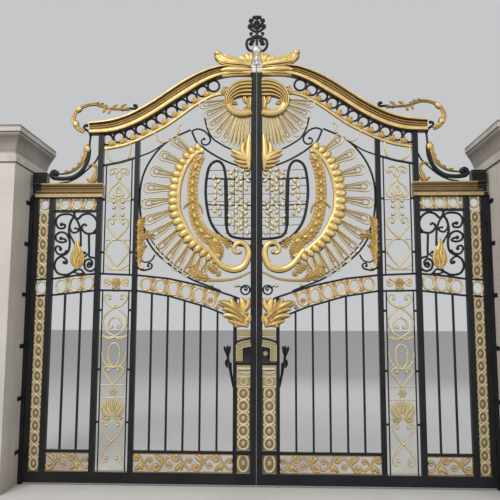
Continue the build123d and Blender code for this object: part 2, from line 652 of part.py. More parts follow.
# Gilt scroll band above the bottom rail.
band_middle = (bottom_rail_top + low_rail_bottom) / 2
band_reach = (low_rail_bottom - bottom_rail_top) / 2
field_link_count = 5
side_link_count = 2
band_links = ((bays[1], field_link_count), (bays[3], side_link_count))
with BuildPart() as bottom_band:
    with BuildSketch(Plane.XZ):
        for (start, end), count in band_links:
            crossings = [start + (end - start) * i / count for i in range(count + 1)]
            for line in strands(band_middle, crossings, band_reach, False):
                Polygon(*ribbon(line, strand_width), align=None)
        with BuildSketch(mode=Mode.INTERSECT):
            for (start, end), count in band_links:
                with Locations(((start + end) / 2, bottom_rail_top)):
                    Rectangle(end - start, 2 * band_reach, align=(Align.CENTER, Align.MIN))
    extrude(amount=gilt_depth / 2, both=True)
hand_over(bottom_band, "bottom_band")

# Gilt strips beside the hanging stile and the meeting stile: flat links, each with a pointed opening.
strip_runs = (
    (bays[4], bottom_rail_top, height_on(lower_lock_line, outer_ring)),
    (bays[4], height_on(upper_lock_line, outer_ring), side_rail_bottom),
    (bays[0], bottom_rail_top, 940 * tall),
)
with BuildPart() as strip_lattice:
    with BuildSketch(Plane.XZ):
        for (start, end), low, high in strip_runs:
            count = round((high - low) / strip_pitch)
            link = (high - low) / count
            half_gap = (end - start) / 2 - strip_margin
            half_link = link / 2 - strip_margin
            with Locations(((start + end) / 2, low)):
                Rectangle(end - start, high - low, align=(Align.CENTER, Align.MIN))
            for i in range(count):
                with Locations(((start + end) / 2, low + (i + 0.5) * link)):
                    Polygon((-half_gap, 0), (0, half_link), (half_gap, 0), (0, -half_link), align=None,
                            mode=Mode.SUBTRACT)
        Polygon(*upper_lock_rail, align=None, mode=Mode.SUBTRACT)
        Polygon(*lower_lock_rail, align=None, mode=Mode.SUBTRACT)
    extrude(amount=gilt_depth / 2, both=True)
hand_over(strip_lattice, "strip_lattice")

# Crest over the side cornice: the rising scroll, the gilt sweep that ends on the arch, and a foot block.
crest_lines = (
    ([(1905, 2800), (1955, 2795), (1975, 2845), (1935, 2885), (1860, 2868), (1760, 2900), (1680, 2975),
      (1640, 3080), (1628, 3190), (1590, 3290)], 34),
    ([(1890, 2740), (1780, 2768), (1690, 2826), (1600, 2910), (1500, 3010)], 16),
    ([(1600, 3290), (1690, 3275), (1745, 3340), (1768, 3440), (1715, 3500), (1620, 3535), (1460, 3515),
      (1340, 3495), (1240, 3450), (1180, 3420)], 28),
    ([(1500, 2920), (1580, 2900), (1600, 2840), (1560, 2740)], 30),
)
foot_block_inset = 3.0  # from the end of the cornice
foot_block_width = 130.0
foot_block_height = 112.0
with BuildPart() as side_crest:
    with BuildSketch(Plane.XZ):
        for line, width in crest_lines:
            Polygon(*ribbon(drawn(line), width), align=None)
        with Locations((cornice_outer - foot_block_inset, cornice_top)):
            Rectangle(foot_block_width, foot_block_height, align=(Align.MAX, Align.MIN))
        Polygon(*arch_outline, align=None, mode=Mode.SUBTRACT)
        with Locations((post_outer, 0)):
            Rectangle(stile_width, arch_lower[-1][1], align=(Align.MAX, Align.MIN), mode=Mode.SUBTRACT)
        with Locations((side_middle, cornice_top)):
            Rectangle(half_opening, cornice_height, align=(Align.CENTER, Align.MAX), mode=Mode.SUBTRACT)
    extrude(amount=crest_depth / 2, both=True)
hand_over(side_crest, "side_crest")

# Lock case between the meeting stile and the lock stile, with the forged leaf grip beside it.
case_outline = [(54, 1290), (120, 1285), (180, 1235), (180, 1010), (120, 955), (54, 950)]
grip_width = 26.0
grip_line = [(205, 890), (245, 1000), (256, 1100), (282, 1190), (262, 1255), (235, 1235)]
with BuildPart() as lock_case:
    with BuildSketch(Plane.XZ):
        Polygon(*drawn(case_outline), align=None)
        with Locations(((meeting_face + lock_inner) / 2, 0)):
            Rectangle(lock_inner - meeting_face, above_everything, align=(Align.CENTER, Align.MIN),
                      mode=Mode.INTERSECT)
    extrude(amount=case_depth / 2, both=True)
    with BuildSketch(Plane.XZ):
        Polygon(*ribbon(drawn(grip_line), grip_width), align=None)
        with Locations((lock_outer, 0)):
            Rectangle(half_opening, above_everything, align=(Align.MIN, Align.MIN), mode=Mode.INTERSECT)
    extrude(amount=grip_depth / 2, both=True)
hand_over(lock_case, "lock_case")

# Finial on the left meeting stile: plate, vase, stem, two tiers of scrolls and a top block.
finial_plate = 92.0
plate_thickness = 12.0
finial_height = 526.0
stem_width = 20.0
top_block = 26.0
vase_steps = ((26.0, 34.0, 28.0), (40.0, 22.0, 40.0), (26.0, 44.0, 44.0))  # height, radius below and above
finial_scrolls = (
    [(0, 165), (50, 175), (84, 205), (78, 245), (44, 250)],
    [(0, 290), (40, 330), (90, 345), (96, 310)],
    [(0, 390), (44, 405), (44, 450), (0, 470)],
)
with BuildPart() as finial:
    with BuildSketch(Plane.XY.offset(arch_top)):
        with Locations((-meeting_gap / 2 - stile_width / 2, 0)):
            Rectangle(stile_width, member_depth)
    extrude(amount=plate_thickness)
    with BuildSketch(Plane.XY.offset(arch_top + plate_thickness)):
        Rectangle(finial_plate, finial_plate)
    extrude(amount=plate_thickness)
    level = arch_top + 2 * plate_thickness
    for rise, foot_radius, top_radius in vase_steps:
        widens = top_radius > foot_radius
        lean = abs(top_radius - foot_radius) * math.cos(math.pi / 8)
        with BuildSketch(Plane.XY.offset(level + rise if widens else level)):
            RegularPolygon(max(foot_radius, top_radius), 8)
        extrude(amount=-rise if widens else rise, taper=math.degrees(math.atan2(lean, rise)))
        level += rise
    with Locations((0, 0, level)):
        Box(stem_width, stem_width, arch_top + finial_height - top_block - level,
            align=(Align.CENTER, Align.CENTER, Align.MIN))
    with BuildSketch(Plane.XZ):
        for side in (1, -1):
            for line in finial_scrolls:
                Polygon(*ribbon([(side * x, arch_top + z) for x, z in line], strand_width), align=None)
        with Locations((0, arch_top + finial_height)):
            Rectangle(2 * stem_width, top_block, align=(Align.CENTER, Align.MAX))
    extrude(amount=stem_width / 2, both=True)
finial_part = finial.part.moved(Location((centre_line, 0, 0)))
finial_part.label = "centre_finial"
export_step(finial_part, "parts/centre_finial.step")
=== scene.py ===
import math
import random

import bmesh
import bpy
from mathutils import Matrix, Vector


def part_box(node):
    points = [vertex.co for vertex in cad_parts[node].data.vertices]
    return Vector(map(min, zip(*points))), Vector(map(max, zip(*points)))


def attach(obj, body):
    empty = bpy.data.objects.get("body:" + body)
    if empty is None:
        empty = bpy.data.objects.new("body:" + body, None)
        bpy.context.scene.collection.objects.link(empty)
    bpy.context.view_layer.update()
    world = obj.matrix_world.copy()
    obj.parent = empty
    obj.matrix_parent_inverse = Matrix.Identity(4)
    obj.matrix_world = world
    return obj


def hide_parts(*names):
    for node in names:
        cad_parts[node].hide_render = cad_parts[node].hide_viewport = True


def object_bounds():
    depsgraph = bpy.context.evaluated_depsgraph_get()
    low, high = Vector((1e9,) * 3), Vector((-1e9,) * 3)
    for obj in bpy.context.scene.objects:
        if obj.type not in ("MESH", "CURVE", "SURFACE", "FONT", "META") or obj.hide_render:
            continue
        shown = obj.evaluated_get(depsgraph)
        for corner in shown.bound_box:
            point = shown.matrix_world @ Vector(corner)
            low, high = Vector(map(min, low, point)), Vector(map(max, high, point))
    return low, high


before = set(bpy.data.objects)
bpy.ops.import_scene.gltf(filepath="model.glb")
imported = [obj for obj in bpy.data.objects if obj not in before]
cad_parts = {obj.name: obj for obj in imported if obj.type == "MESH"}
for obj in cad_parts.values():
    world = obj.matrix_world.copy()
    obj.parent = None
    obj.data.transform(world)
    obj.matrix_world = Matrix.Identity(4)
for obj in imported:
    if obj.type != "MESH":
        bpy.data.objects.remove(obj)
cad_low, cad_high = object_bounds()

# The gateway stands square to the street. Everything on a leaf is set out from the line where
# the two leaves meet, sideways towards the piers and up from the ground.
centre_line = (cad_low[0] + cad_high[0]) / 2


# The view: someone of standing height in the street, a hand to the right of the meeting line,
# looking slightly up and a touch to the left. The three turns are in radians, the lens in millimetres.
eye_height = 1.5
eye_distance = 5.411
eye_offset = 0.142
turned = -0.0375
raised = 0.1137
leaning = 0.0026
lens_length = 42.2
sensor_width = 36.0

view_camera = bpy.data.cameras.new("street_view")
view_camera.lens = lens_length
view_camera.sensor_width = sensor_width
view_camera.clip_end = 200
viewer = bpy.data.objects.new("street_view", view_camera)
bpy.context.collection.objects.link(viewer)
ahead = Vector((math.sin(turned) * math.cos(raised), math.cos(turned) * math.cos(raised), math.sin(raised)))
across = Vector((math.cos(turned), -math.sin(turned), 0))
upward = across.cross(ahead)
standing = Matrix((across, upward, -ahead)).transposed().to_4x4()
viewer.matrix_world = (Matrix.Translation((centre_line + eye_offset, -eye_distance, eye_height))
                       @ standing @ Matrix.Rotation(leaning, 4, "Z"))
bpy.context.scene.camera = viewer


# Two masonry piers with a pale painted render on them. Rain has left faint streaks down the
# shafts, dirt has splashed up their feet, and the float marks of the plasterer still show.
def new_finish(name, roughness, metal=0.0, shine=0.5):
    finish = bpy.data.materials.new(name)
    finish.use_nodes = True
    shader = finish.node_tree.nodes["Principled BSDF"]
    shader.inputs["Metallic"].default_value = metal
    shader.inputs["Roughness"].default_value = roughness
    shader.inputs["Specular IOR Level"].default_value = shine
    return finish


# Uneven patches: large with a low scale, fine as grain with a high one.
def mottle(finish, scale, detail, stretch=(1, 1, 1)):
    nodes = finish.node_tree.nodes
    links = finish.node_tree.links
    place = nodes.new("ShaderNodeTexCoord")
    stretcher = nodes.new("ShaderNodeMapping")
    stretcher.inputs["Scale"].default_value = stretch
    noise = nodes.new("ShaderNodeTexNoise")
    noise.inputs["Scale"].default_value = scale
    noise.inputs["Detail"].default_value = detail
    links.new(place.outputs["Object"], stretcher.inputs["Vector"])
    links.new(stretcher.outputs["Vector"], noise.inputs["Vector"])
    return noise.outputs["Fac"]


# Turns a value from 0 to 1 into colours, given as (value, colour).
def graded(finish, source, stops):
    ramp = finish.node_tree.nodes.new("ShaderNodeValToRGB")
    while len(ramp.color_ramp.elements) < len(stops):
        ramp.color_ramp.elements.new(0.5)
    for element, (place, colour) in zip(ramp.color_ramp.elements, stops):
        element.position = place
        element.color = (*colour, 1)
    finish.node_tree.links.new(source, ramp.inputs["Fac"])
    return ramp.outputs["Color"]


# Nothing below the start, and the most from the end on.
def patchy_share(finish, source, start, end, most):
    return graded(finish, source, ((start, (0, 0, 0)), (end, (most, most, most))))


# Carries a value over from one range to another.
def share_of_range(finish, source, low, high, least=0.0, most=1.0):
    spread = finish.node_tree.nodes.new("ShaderNodeMapRange")
    spread.inputs["From Min"].default_value = low
    spread.inputs["From Max"].default_value = high
    spread.inputs["To Min"].default_value = least
    spread.inputs["To Max"].default_value = most
    finish.node_tree.links.new(source, spread.inputs["Value"])
    return spread.outputs["Result"]


# One colour laid over another by an amount from 0 to 1.
def laid_over(finish, under, over, amount):
    links = finish.node_tree.links
    mixer = finish.node_tree.nodes.new("ShaderNodeMix")
    mixer.data_type = "RGBA"
    links.new(amount, mixer.inputs["Factor"])
    for place, colour in ((6, under), (7, over)):
        if isinstance(colour, tuple):
            mixer.inputs[place].default_value = (*colour, 1)
        else:
            links.new(colour, mixer.inputs[place])
    return mixer.outputs[2]


# Gives a finish its colour, its worn roughness and its fine relief.
def wear_in(finish, colour, rough_source, rough_range, bump_source, height, distance):
    links = finish.node_tree.links
    shader = finish.node_tree.nodes["Principled BSDF"]
    links.new(colour, shader.inputs["Base Color"])
    links.new(share_of_range(finish, rough_source, 0.0, 1.0, *rough_range), shader.inputs["Roughness"])
    bump = finish.node_tree.nodes.new("ShaderNodeBump")
    bump.inputs["Strength"].default_value = height
    bump.inputs["Distance"].default_value = distance
    links.new(bump_source, bump.inputs["Height"])
    links.new(bump.outputs["Normal"], shader.inputs["Normal"])


# From 0 on faces that look down to 1 on faces that look up.
def upward_share(finish, low, high):
    surface = finish.node_tree.nodes.new("ShaderNodeNewGeometry")
    parts = finish.node_tree.nodes.new("ShaderNodeSeparateXYZ")
    finish.node_tree.links.new(surface.outputs["Normal"], parts.inputs["Vector"])
    return share_of_range(finish, parts.outputs["Z"], low, high)


# From 0 at one height over the ground to 1 at another.
def height_share(finish, low, high):
    place = finish.node_tree.nodes.new("ShaderNodeTexCoord")
    parts = finish.node_tree.nodes.new("ShaderNodeSeparateXYZ")
    finish.node_tree.links.new(place.outputs["Object"], parts.inputs["Vector"])
    return share_of_range(finish, parts.outputs["Z"], low, high)


pier_render = new_finish("pier_render", 0.85)
float_marks = mottle(pier_render, 38, 8)
patches = mottle(pier_render, 2.4, 5)
streaks = mottle(pier_render, 9, 6, (1, 1, 0.07))
render_shade, render_pale = (0.50, 0.465, 0.425), (0.62, 0.575, 0.53)
rain_brown = (0.34, 0.30, 0.26)
splash_brown = (0.33, 0.29, 0.25)
splash_top = 0.4
rendered = graded(pier_render, patches, ((0.25, render_shade), (0.75, render_pale)))
streaked = laid_over(pier_render, rendered, rain_brown, patchy_share(pier_render, streaks, 0.52, 0.8, 0.6))
splashed = laid_over(pier_render, splash_brown, streaked, height_share(pier_render, -0.15, splash_top))
wear_in(pier_render, splashed, patches, (0.75, 0.95), float_marks, 0.35, 0.004)
for side in ("left", "right"):
    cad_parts[f"{side}_pier"].material_slots[0].material = pier_render


# Moulded caps run in the same render on top of the piers: a neck band, a hollow, a long
# cove leaning out in steps, a square-edged slab and a shallow weathered crown that sheds the rain.
cap_finish = new_finish("weathered_cap", 0.9)
cap_patches = mottle(cap_finish, 7, 7)
cap_grain = mottle(cap_finish, 60, 8)
cap_shade, cap_pale = (0.42, 0.385, 0.35), (0.56, 0.52, 0.475)
# near-black brown for faces that look down: partly damp dirt, partly painted shade under the mouldings
hollow_shade_and_dirt = (0.10, 0.085, 0.07)
rain_black = (0.10, 0.095, 0.09)
cap_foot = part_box("left_pier_cap")[0].z
slab_foot = cap_foot + 0.296
slab_top = cap_foot + 0.322
cap_clean = graded(cap_finish, cap_patches, ((0.3, cap_shade), (0.7, cap_pale)))
# faces that look down take that brown: painted shade, partly damp dirt
cap_damp_and_shaded = laid_over(cap_finish, hollow_shade_and_dirt, cap_clean, upward_share(cap_finish, -0.60, 0.0))
rain_line = patchy_share(cap_finish, height_share(cap_finish, slab_foot, slab_top), 0.2, 0.9, 0.85)
cap_stained = laid_over(cap_finish, cap_damp_and_shaded, rain_black, rain_line)
wear_in(cap_finish, cap_stained, cap_patches, (0.78, 0.98), cap_grain, 0.45, 0.004)

cap_corner = 0.005
# how far each line of the moulding stands out from the pier face, and its height over the cap's foot
cap_lines = ((-0.06, 0.0), (0.012, 0.0), (0.016, 0.004), (0.016, 0.064), (0.012, 0.070), (-0.004, 0.073),
             (-0.005, 0.080), (-0.004, 0.098), (0.0, 0.110), (0.003, 0.122), (0.009, 0.146), (0.016, 0.170),
             (0.023, 0.190), (0.030, 0.208), (0.037, 0.224), (0.044, 0.238), (0.049, 0.252), (0.051, 0.263),
             (0.057, 0.266), (0.060, 0.270), (0.060, 0.324), (0.056, 0.330), (0.045, 0.333), (0.036, 0.336),
             (-0.06, 0.352), (-0.148, 0.364))


# A rectangle seen from above, with its corners eased.
def ring_of_corners(middle, half, level, corner):
    ring = []
    for sx, sy, start in ((1, 1, 0), (-1, 1, 90), (-1, -1, 180), (1, -1, 270)):
        for step in range(3):
            angle = math.radians(start + 45 * step)
            ring.append(Vector((middle[0] + sx * (half[0] - corner) + corner * math.cos(angle),
                                middle[1] + sy * (half[1] - corner) + corner * math.sin(angle), level)))
    return ring


# Joins rings of points, one over the other, into a closed shape.
def stack_rings(mesh, rings):
    rows = [[mesh.verts.new(point) for point in ring] for ring in rings]
    count = len(rows[0])
    for lower, upper in zip(rows, rows[1:]):
        for i in range(count):
            mesh.faces.new((lower[i], lower[(i + 1) % count], upper[(i + 1) % count], upper[i]))
    mesh.faces.new(rows[0][::-1])
    mesh.faces.new(rows[-1])


# Smooths the mesh but for its real edges, paints it and hangs it on its part of the gateway.
def settle(mesh, name, finish, body, nodes, crease=38):
    bmesh.ops.recalc_face_normals(mesh, faces=mesh.faces)
    data = bpy.data.meshes.new(name)
    mesh.to_mesh(data)
    mesh.free()
    data.shade_smooth()
    data.set_sharp_from_angle(angle=math.radians(crease))
    piece = bpy.data.objects.new(name, data)
    bpy.context.collection.objects.link(piece)
    data.materials.append(finish)
    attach(piece, body)
    if nodes:
        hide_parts(*nodes)
    return piece


# Middle and half sizes of a piece as seen from above.
def plan_of(node):
    low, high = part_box(node)
    middle = ((low.x + high.x) / 2, (low.y + high.y) / 2)
    half = ((high.x - low.x) / 2, (high.y - low.y) / 2)
    return middle, half


for side in ("left", "right"):
    middle, half = plan_of(f"{side}_pier")
    cap = bmesh.new()
    stack_rings(cap, [ring_of_corners(middle, (half[0] + out, half[1] + out), cap_foot + up, cap_corner)
                      for out, up in cap_lines])
    settle(cap, f"{side}_moulded_cap", cap_finish, "gateposts", [f"{side}_pier_cap"], 22)


# The iron that carries everything: jamb posts strapped to the piers, and on each leaf the stiles,
# rails and plain bars, welded up and brushed with a black paint. Its pale tops are partly street dust
# and partly a painted highlight from the sky.
black_paint = new_finish("black_paint", 0.5, 0.0, 0.3)
brush_marks = mottle(black_paint, 55, 6)
dust_patches = mottle(black_paint, 6, 6)
deep_black, rubbed_black = (0.004, 0.0045, 0.006), (0.012, 0.013, 0.016)
# pale tone for faces that look up: partly street dust, partly a painted highlight from the sky
dust_and_sky_highlight = (0.28, 0.26, 0.235)
bare_edge = (0.045, 0.040, 0.036)
paint_tone = graded(black_paint, dust_patches, ((0.3, deep_black), (0.7, rubbed_black)))
dust_and_highlight_share = patchy_share(black_paint, upward_share(black_paint, 0.3, 1.0), 0.1, 1.0, 0.85)
dusty_and_highlit = laid_over(black_paint, paint_tone, dust_and_sky_highlight, dust_and_highlight_share)
rubbed = laid_over(black_paint, dusty_and_highlit, bare_edge, patchy_share(black_paint, brush_marks, 0.62, 0.76, 0.35))
wear_in(black_paint, rubbed, dust_patches, (0.42, 0.66), brush_marks, 0.22, 0.0012)

plain_iron = ("jamb_post", "hanging_stile", "uprights", "lock_stile", "meeting_stile", "bottom_rail",
              "low_rail", "lock_rails", "bars")
for side in ("left", "right"):
    for iron_name in plain_iron:
        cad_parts[f"{side}_{iron_name}"].material_slots[0].material = black_paint


# Moulded cornice over each side panel: two drawn mouldings one over the other, gilt on the bays
# with umber in the grooves, and black where each runs out over the hanging stile.

# Gold leaf over a brown ground: brightest where the work stands proud, worn to its middle tone in
# patches, with dirt in the grooves, and painted shade in the groove colour on whatever faces the ground.
def new_gilding(name, bright, middle_tone, groove_and_shade, metal, polish):
    finish = new_finish(name, polish[0], metal)
    relief = finish.node_tree.nodes.new("ShaderNodeAttribute")
    relief.attribute_name = "relief"
    cloudy = mottle(finish, 14, 6)
    grain = mottle(finish, 120, 5)
    height_tone = graded(finish, relief.outputs["Fac"], ((0.02, groove_and_shade), (0.48, middle_tone), (0.9, bright)))
    aged = laid_over(finish, height_tone, middle_tone, patchy_share(finish, cloudy, 0.42, 0.72, 0.55))
    washed = laid_over(finish, aged, groove_and_shade, patchy_share(finish, mottle(finish, 45, 8), 0.58, 0.78, 0.5))
    # painted shade: faces that look down take the groove colour
    shaded = laid_over(finish, groove_and_shade, washed, upward_share(finish, -0.95, -0.35))
    wear_in(finish, shaded, cloudy, polish, grain, 0.2, 0.0015)
    return finish


dull_gilding = new_gilding("dull_gilding", bright=(0.46, 0.33, 0.14), middle_tone=(0.27, 0.17, 0.055),
                           groove_and_shade=(0.05, 0.03, 0.015), metal=0.3, polish=(0.4, 0.6))

# points round a drawn moulding: across (foot to top), out from the leaf, how proud the gilding lies
upper_face = ((-1.0, 0.60, 0.0), (-0.92, 0.66, 0.3), (-0.58, 0.68, 0.4), (-0.50, 0.58, 0.0),
              (-0.40, 0.58, 0.0), (-0.32, 0.70, 0.35), (0.02, 0.74, 0.4), (0.10, 0.62, 0.0),
              (0.20, 0.62, 0.0), (0.28, 0.78, 0.4), (0.48, 0.84, 0.5), (0.56, 0.94, 0.9),
              (0.66, 1.0, 1.0), (0.9, 1.0, 1.0), (1.0, 0.92, 0.9))
lower_face = ((-1.0, 0.62, 0.2), (-0.95, 0.88, 0.8), (-0.86, 1.0, 1.0), (-0.02, 1.0, 1.0), (0.10, 0.92, 0.8),
              (0.20, 0.72, 0.2), (0.34, 0.60, 0.0), (0.62, 0.60, 0.0), (0.70, 0.68, 0.3), (1.0, 0.66, 0.3))


# The same section on the front and on the back of the leaf.
def both_faces(face):
    return list(face) + [(a, -out, relief) for a, out, relief in reversed(face)]


# Carries a section along a line on the leaf. The line is (sideways, up) from the meeting line,
# and the section's points are (across, out towards the street, relief).
def drawn_bar(line, section, half_width, half_depth, level=0.0, closed=False):
    count = len(line)
    wide = half_width if isinstance(half_width, list) else [half_width] * count
    deep = half_depth if isinstance(half_depth, list) else [half_depth] * count
    points = []
    for i, (x, z) in enumerate(line):
        before = line[i - 1] if i or closed else line[0]
        after = line[(i + 1) % count] if i < count - 1 or closed else line[-1]
        ax, az = x - before[0], z - before[1]
        bx, bz = after[0] - x, after[1] - z
        a_long = math.hypot(ax, az) or 1.0
        b_long = math.hypot(bx, bz) or 1.0
        tx, tz = ax / a_long + bx / b_long, az / a_long + bz / b_long
        long = math.hypot(tx, tz) or 1.0
        tx, tz = tx / long, tz / long
        for a, out, relief in section:
            points.append((x - tz * a * wide[i], -level - out * deep[i], z + tx * a * wide[i], relief))
    size = len(section)
    faces = []
    for i in range(count if closed else count - 1):
        n = (i + 1) % count
        for j in range(size):
            k = (j + 1) % size
            faces.append((i * size + j, i * size + k, n * size + k, n * size + j))
    if not closed:
        faces.append(tuple(range(size))[::-1])
        faces.append(tuple((count - 1) * size + j for j in range(size)))
    return points, faces


# Joins worked shapes into one mesh. They are drawn for the right leaf, and way -1 turns them to the left.
def iron_mesh(shapes, way=1):
    work = bmesh.new()
    relief = work.verts.layers.float.new("relief")
    for points, faces in shapes:
        corners = []
        for x, y, z, proud in points:
            corner = work.verts.new((centre_line + way * x, y, z))
            corner[relief] = proud
            corners.append(corner)
        for face in faces:
            work.faces.new([corners[i] for i in face])
    return work


# Makes one piece of ironwork for the right leaf and its mirror twin for the left.
def hang_on_leaves(name, shapes, finish, nodes=()):
    for side, way in (("right", 1), ("left", -1)):
        settle(iron_mesh(shapes, way), f"{side}_{name}", finish, f"{side}_leaf",
               [f"{side}_{node}" for node in nodes])


cornice_low, cornice_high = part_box("right_side_cornice")
cornice_start = cornice_low.x - centre_line
cornice_end = cornice_high.x - centre_line
# the lower moulding comes down onto the ring row under it
cornice_foot = cornice_low.z - 0.014
cornice_split = cornice_foot + 0.066
upper_gilt_end, lower_gilt_end = 2.040, 2.090
cornice_gilt = []
cornice_black = []
for foot, top, face, gilt_end in ((cornice_split, cornice_high.z, upper_face, upper_gilt_end),
                                  (cornice_foot, cornice_split, lower_face, lower_gilt_end)):
    level = (foot + top) / 2
    for bars, start, end in ((cornice_gilt, cornice_start, gilt_end), (cornice_black, gilt_end, cornice_end)):
        bars.append(drawn_bar([(start, level), (end, level)], both_faces(face), (top - foot) / 2,
                              cornice_high.y))
hang_on_leaves("cornice_moulding", cornice_gilt, dull_gilding, ["side_cornice"])
hang_on_leaves("cornice_return", cornice_black, black_paint, ["side_cornice"])


# The arched cornice: three drawn mouldings bent to the ogee line of the leaf and gilt, a thick
# torus below, a hollow and fillet, and a thinner bead along the top edge.

# Eases a bar round the points it has to pass, in short steps from each to the next.
def flow(points, steps=5):
    line = []
    last = len(points) - 1
    for i in range(last):
        p0, p1, p2, p3 = points[max(i - 1, 0)], points[i], points[i + 1], points[min(i + 2, last)]
        for step in range(steps):
            t = step / steps
            line.append(tuple(0.5 * (2 * b + (c - a) * t + (2 * a - 5 * b + 4 * c - d) * t * t
                                     + (3 * b - a - 3 * c + d) * t ** 3)
                              for a, b, c, d in zip(p0, p1, p2, p3)))
    line.append(tuple(points[-1]))
    return line


arch_gilding = new_gilding("arch_gilding", bright=(0.80, 0.58, 0.23), middle_tone=(0.42, 0.26, 0.075),
                           groove_and_shade=(0.045, 0.022, 0.010), metal=0.35, polish=(0.35, 0.55))
arch_face = ((-1.0, 0.50, 0.0), (-0.97, 0.78, 0.5), (-0.88, 0.93, 0.95), (-0.68, 1.0, 1.0),
             (-0.46, 0.96, 1.0), (-0.34, 0.84, 0.7), (-0.28, 0.66, 0.15), (-0.24, 0.54, 0.0),
             (-0.14, 0.54, 0.0), (-0.08, 0.63, 0.4), (0.06, 0.66, 0.5), (0.13, 0.52, 0.0),
             (0.22, 0.50, 0.0), (0.28, 0.62, 0.4), (0.42, 0.66, 0.5), (0.49, 0.52, 0.0),
             (0.58, 0.50, 0.0), (0.64, 0.84, 0.75), (0.76, 0.98, 1.0), (0.90, 0.96, 1.0),
             (1.0, 0.78, 0.8))
arch_upper = [(0.054, 3.900), (0.25, 3.900), (0.39, 3.890), (0.54, 3.840), (0.68, 3.770), (0.83, 3.670),
              (0.97, 3.572), (1.12, 3.482), (1.26, 3.415), (1.41, 3.372), (1.60, 3.350)]
arch_lower = [(0.054, 3.808), (0.25, 3.808), (0.39, 3.778), (0.54, 3.708), (0.68, 3.615), (0.83, 3.518),
              (0.97, 3.424), (1.12, 3.338), (1.26, 3.278), (1.41, 3.242), (1.60, 3.235)]
upper_line = flow(arch_upper)
lower_line = flow(arch_lower)
arch_middle = [((a[0] + b[0]) / 2, (a[1] + b[1]) / 2) for a, b in zip(upper_line, lower_line)]
arch_halves = []
for i, (above, below) in enumerate(zip(upper_line, lower_line)):
    before = arch_middle[max(i - 1, 0)]
    after = arch_middle[min(i + 1, len(arch_middle) - 1)]
    slope = math.atan2(after[1] - before[1], after[0] - before[0])
    arch_halves.append(math.dist(above, below) / 2 * math.cos(slope))
arch_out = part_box("right_arch_cornice")[1].y
arch_work = [drawn_bar(arch_middle, both_faces(arch_face), arch_halves, arch_out)]
hang_on_leaves("arch_moulding", arch_work, arch_gilding, ["arch_cornice"])


# Crown leaf bolted over the top of the arch on each side of the finial, cast in iron and gilt: long
# leaves lie along the moulding to a big curled tip that lifts off it, and three short ones stand up
# beside the finial. Some leaves have a ribbed back and some a smooth one.
leaf_face = ((-1.0, 0.0, 0.15), (-0.82, 0.42, 0.65), (-0.45, 0.68, 0.85), (-0.14, 0.62, 0.4), (0.0, 1.0, 1.0),
             (0.14, 0.62, 0.4), (0.45, 0.68, 0.85), (0.82, 0.42, 0.65), (1.0, 0.0, 0.15), (0.6, -0.5, 0.4),
             (0.0, -0.7, 0.6), (-0.6, -0.5, 0.4))
smooth_leaf_face = ((-1.0, 0.0, 0.2), (-0.78, 0.50, 0.6), (-0.40, 0.88, 0.95), (0.05, 1.0, 1.0),
                    (0.45, 0.84, 0.9), (0.80, 0.44, 0.55), (1.0, 0.0, 0.2), (0.6, -0.5, 0.4),
                    (0.0, -0.7, 0.6), (-0.6, -0.5, 0.4))


# A leaf blade: it swells from its root and runs out to a point, with a ribbed or a smooth back.
def blade(points, half_width, out, level, steps=4, face=leaf_face):
    line = flow(points, steps)
    last = len(line) - 1
    widths = []
    for i in range(last + 1):
        t = i / last
        swell = min(1.0, 0.45 + 1.6 * t)
        if t > 0.4:
            swell *= math.sqrt(max(1 - ((t - 0.4) / 0.6) ** 2, 0.0))
        widths.append(half_width * max(swell, 0.04))
    depths = [max(out * w / half_width, out * 0.12) for w in widths]
    return drawn_bar(line, face, widths, depths, level)


# A rib with fingers on both sides, longest at its middle, that lean off it and bend back to its way.
def acanthus(rib, reach, fingers, level, out):
    lean = 48
    line = flow(rib, 6)
    shapes = [blade(rib, reach * 0.26, out * 1.15, level + 0.002)]
    for i in range(fingers):
        share = 0.05 + 0.95 * (i + 0.5) / fingers
        place = min(int(share * (len(line) - 1)), len(line) - 2)
        x, z = line[place]
        heading = math.atan2(line[place + 1][1] - z, line[place + 1][0] - x)
        length = reach * (0.45 + 0.75 * math.sin(math.pi * min(share * 0.95 + 0.08, 1.0)))
        for turn in (1, -1):
            first = heading + turn * math.radians(lean)
            second = heading + turn * math.radians(lean * 0.45)
            mx, mz = x + length * 0.5 * math.cos(first), z + length * 0.5 * math.sin(first)
            tip = (mx + length * 0.5 * math.cos(second), mz + length * 0.5 * math.sin(second))
            shapes.append(blade([(x, z), (mx, mz), tip], length * 0.2, out, level, 3))
    return shapes


# A cast boss or petal: an egg of metal, longer one way and tilted as it lies on the work.
def boss(x, z, long, short, out, level, tilt=0.0):
    points = [(x, -level + out * 0.55, z, 0.15)]
    faces = []
    rows = ((-0.5, 0.80, 0.1), (0.0, 1.0, 0.25), (0.5, 0.80, 0.75), (0.86, 0.45, 1.0))
    around = 10
    for height, spread, relief in rows:
        for i in range(around):
            angle = math.tau * i / around
            px, pz = long * spread * math.cos(angle), short * spread * math.sin(angle)
            points.append((x + px * math.cos(tilt) - pz * math.sin(tilt), -level - out * height,
                           z + px * math.sin(tilt) + pz * math.cos(tilt), relief))
    points.append((x, -level - out, z, 1.0))
    top = len(points) - 1
    for i in range(around):
        n = (i + 1) % around
        faces.append((0, 1 + n, 1 + i))
        for row in range(len(rows) - 1):
            foot = 1 + row * around
            faces.append((foot + i, foot + n, foot + around + n, foot + around + i))
        faces.append((top - around + i, top - around + n, top))
    return points, faces


# The same boss on the front and on the back of a bar.
def boss_pair(x, z, long, short, out, tilt=0.0):
    return [boss(x, z, long, short, out, 0.0, tilt), boss(x, z, long, short, -out, 0.0, tilt)]


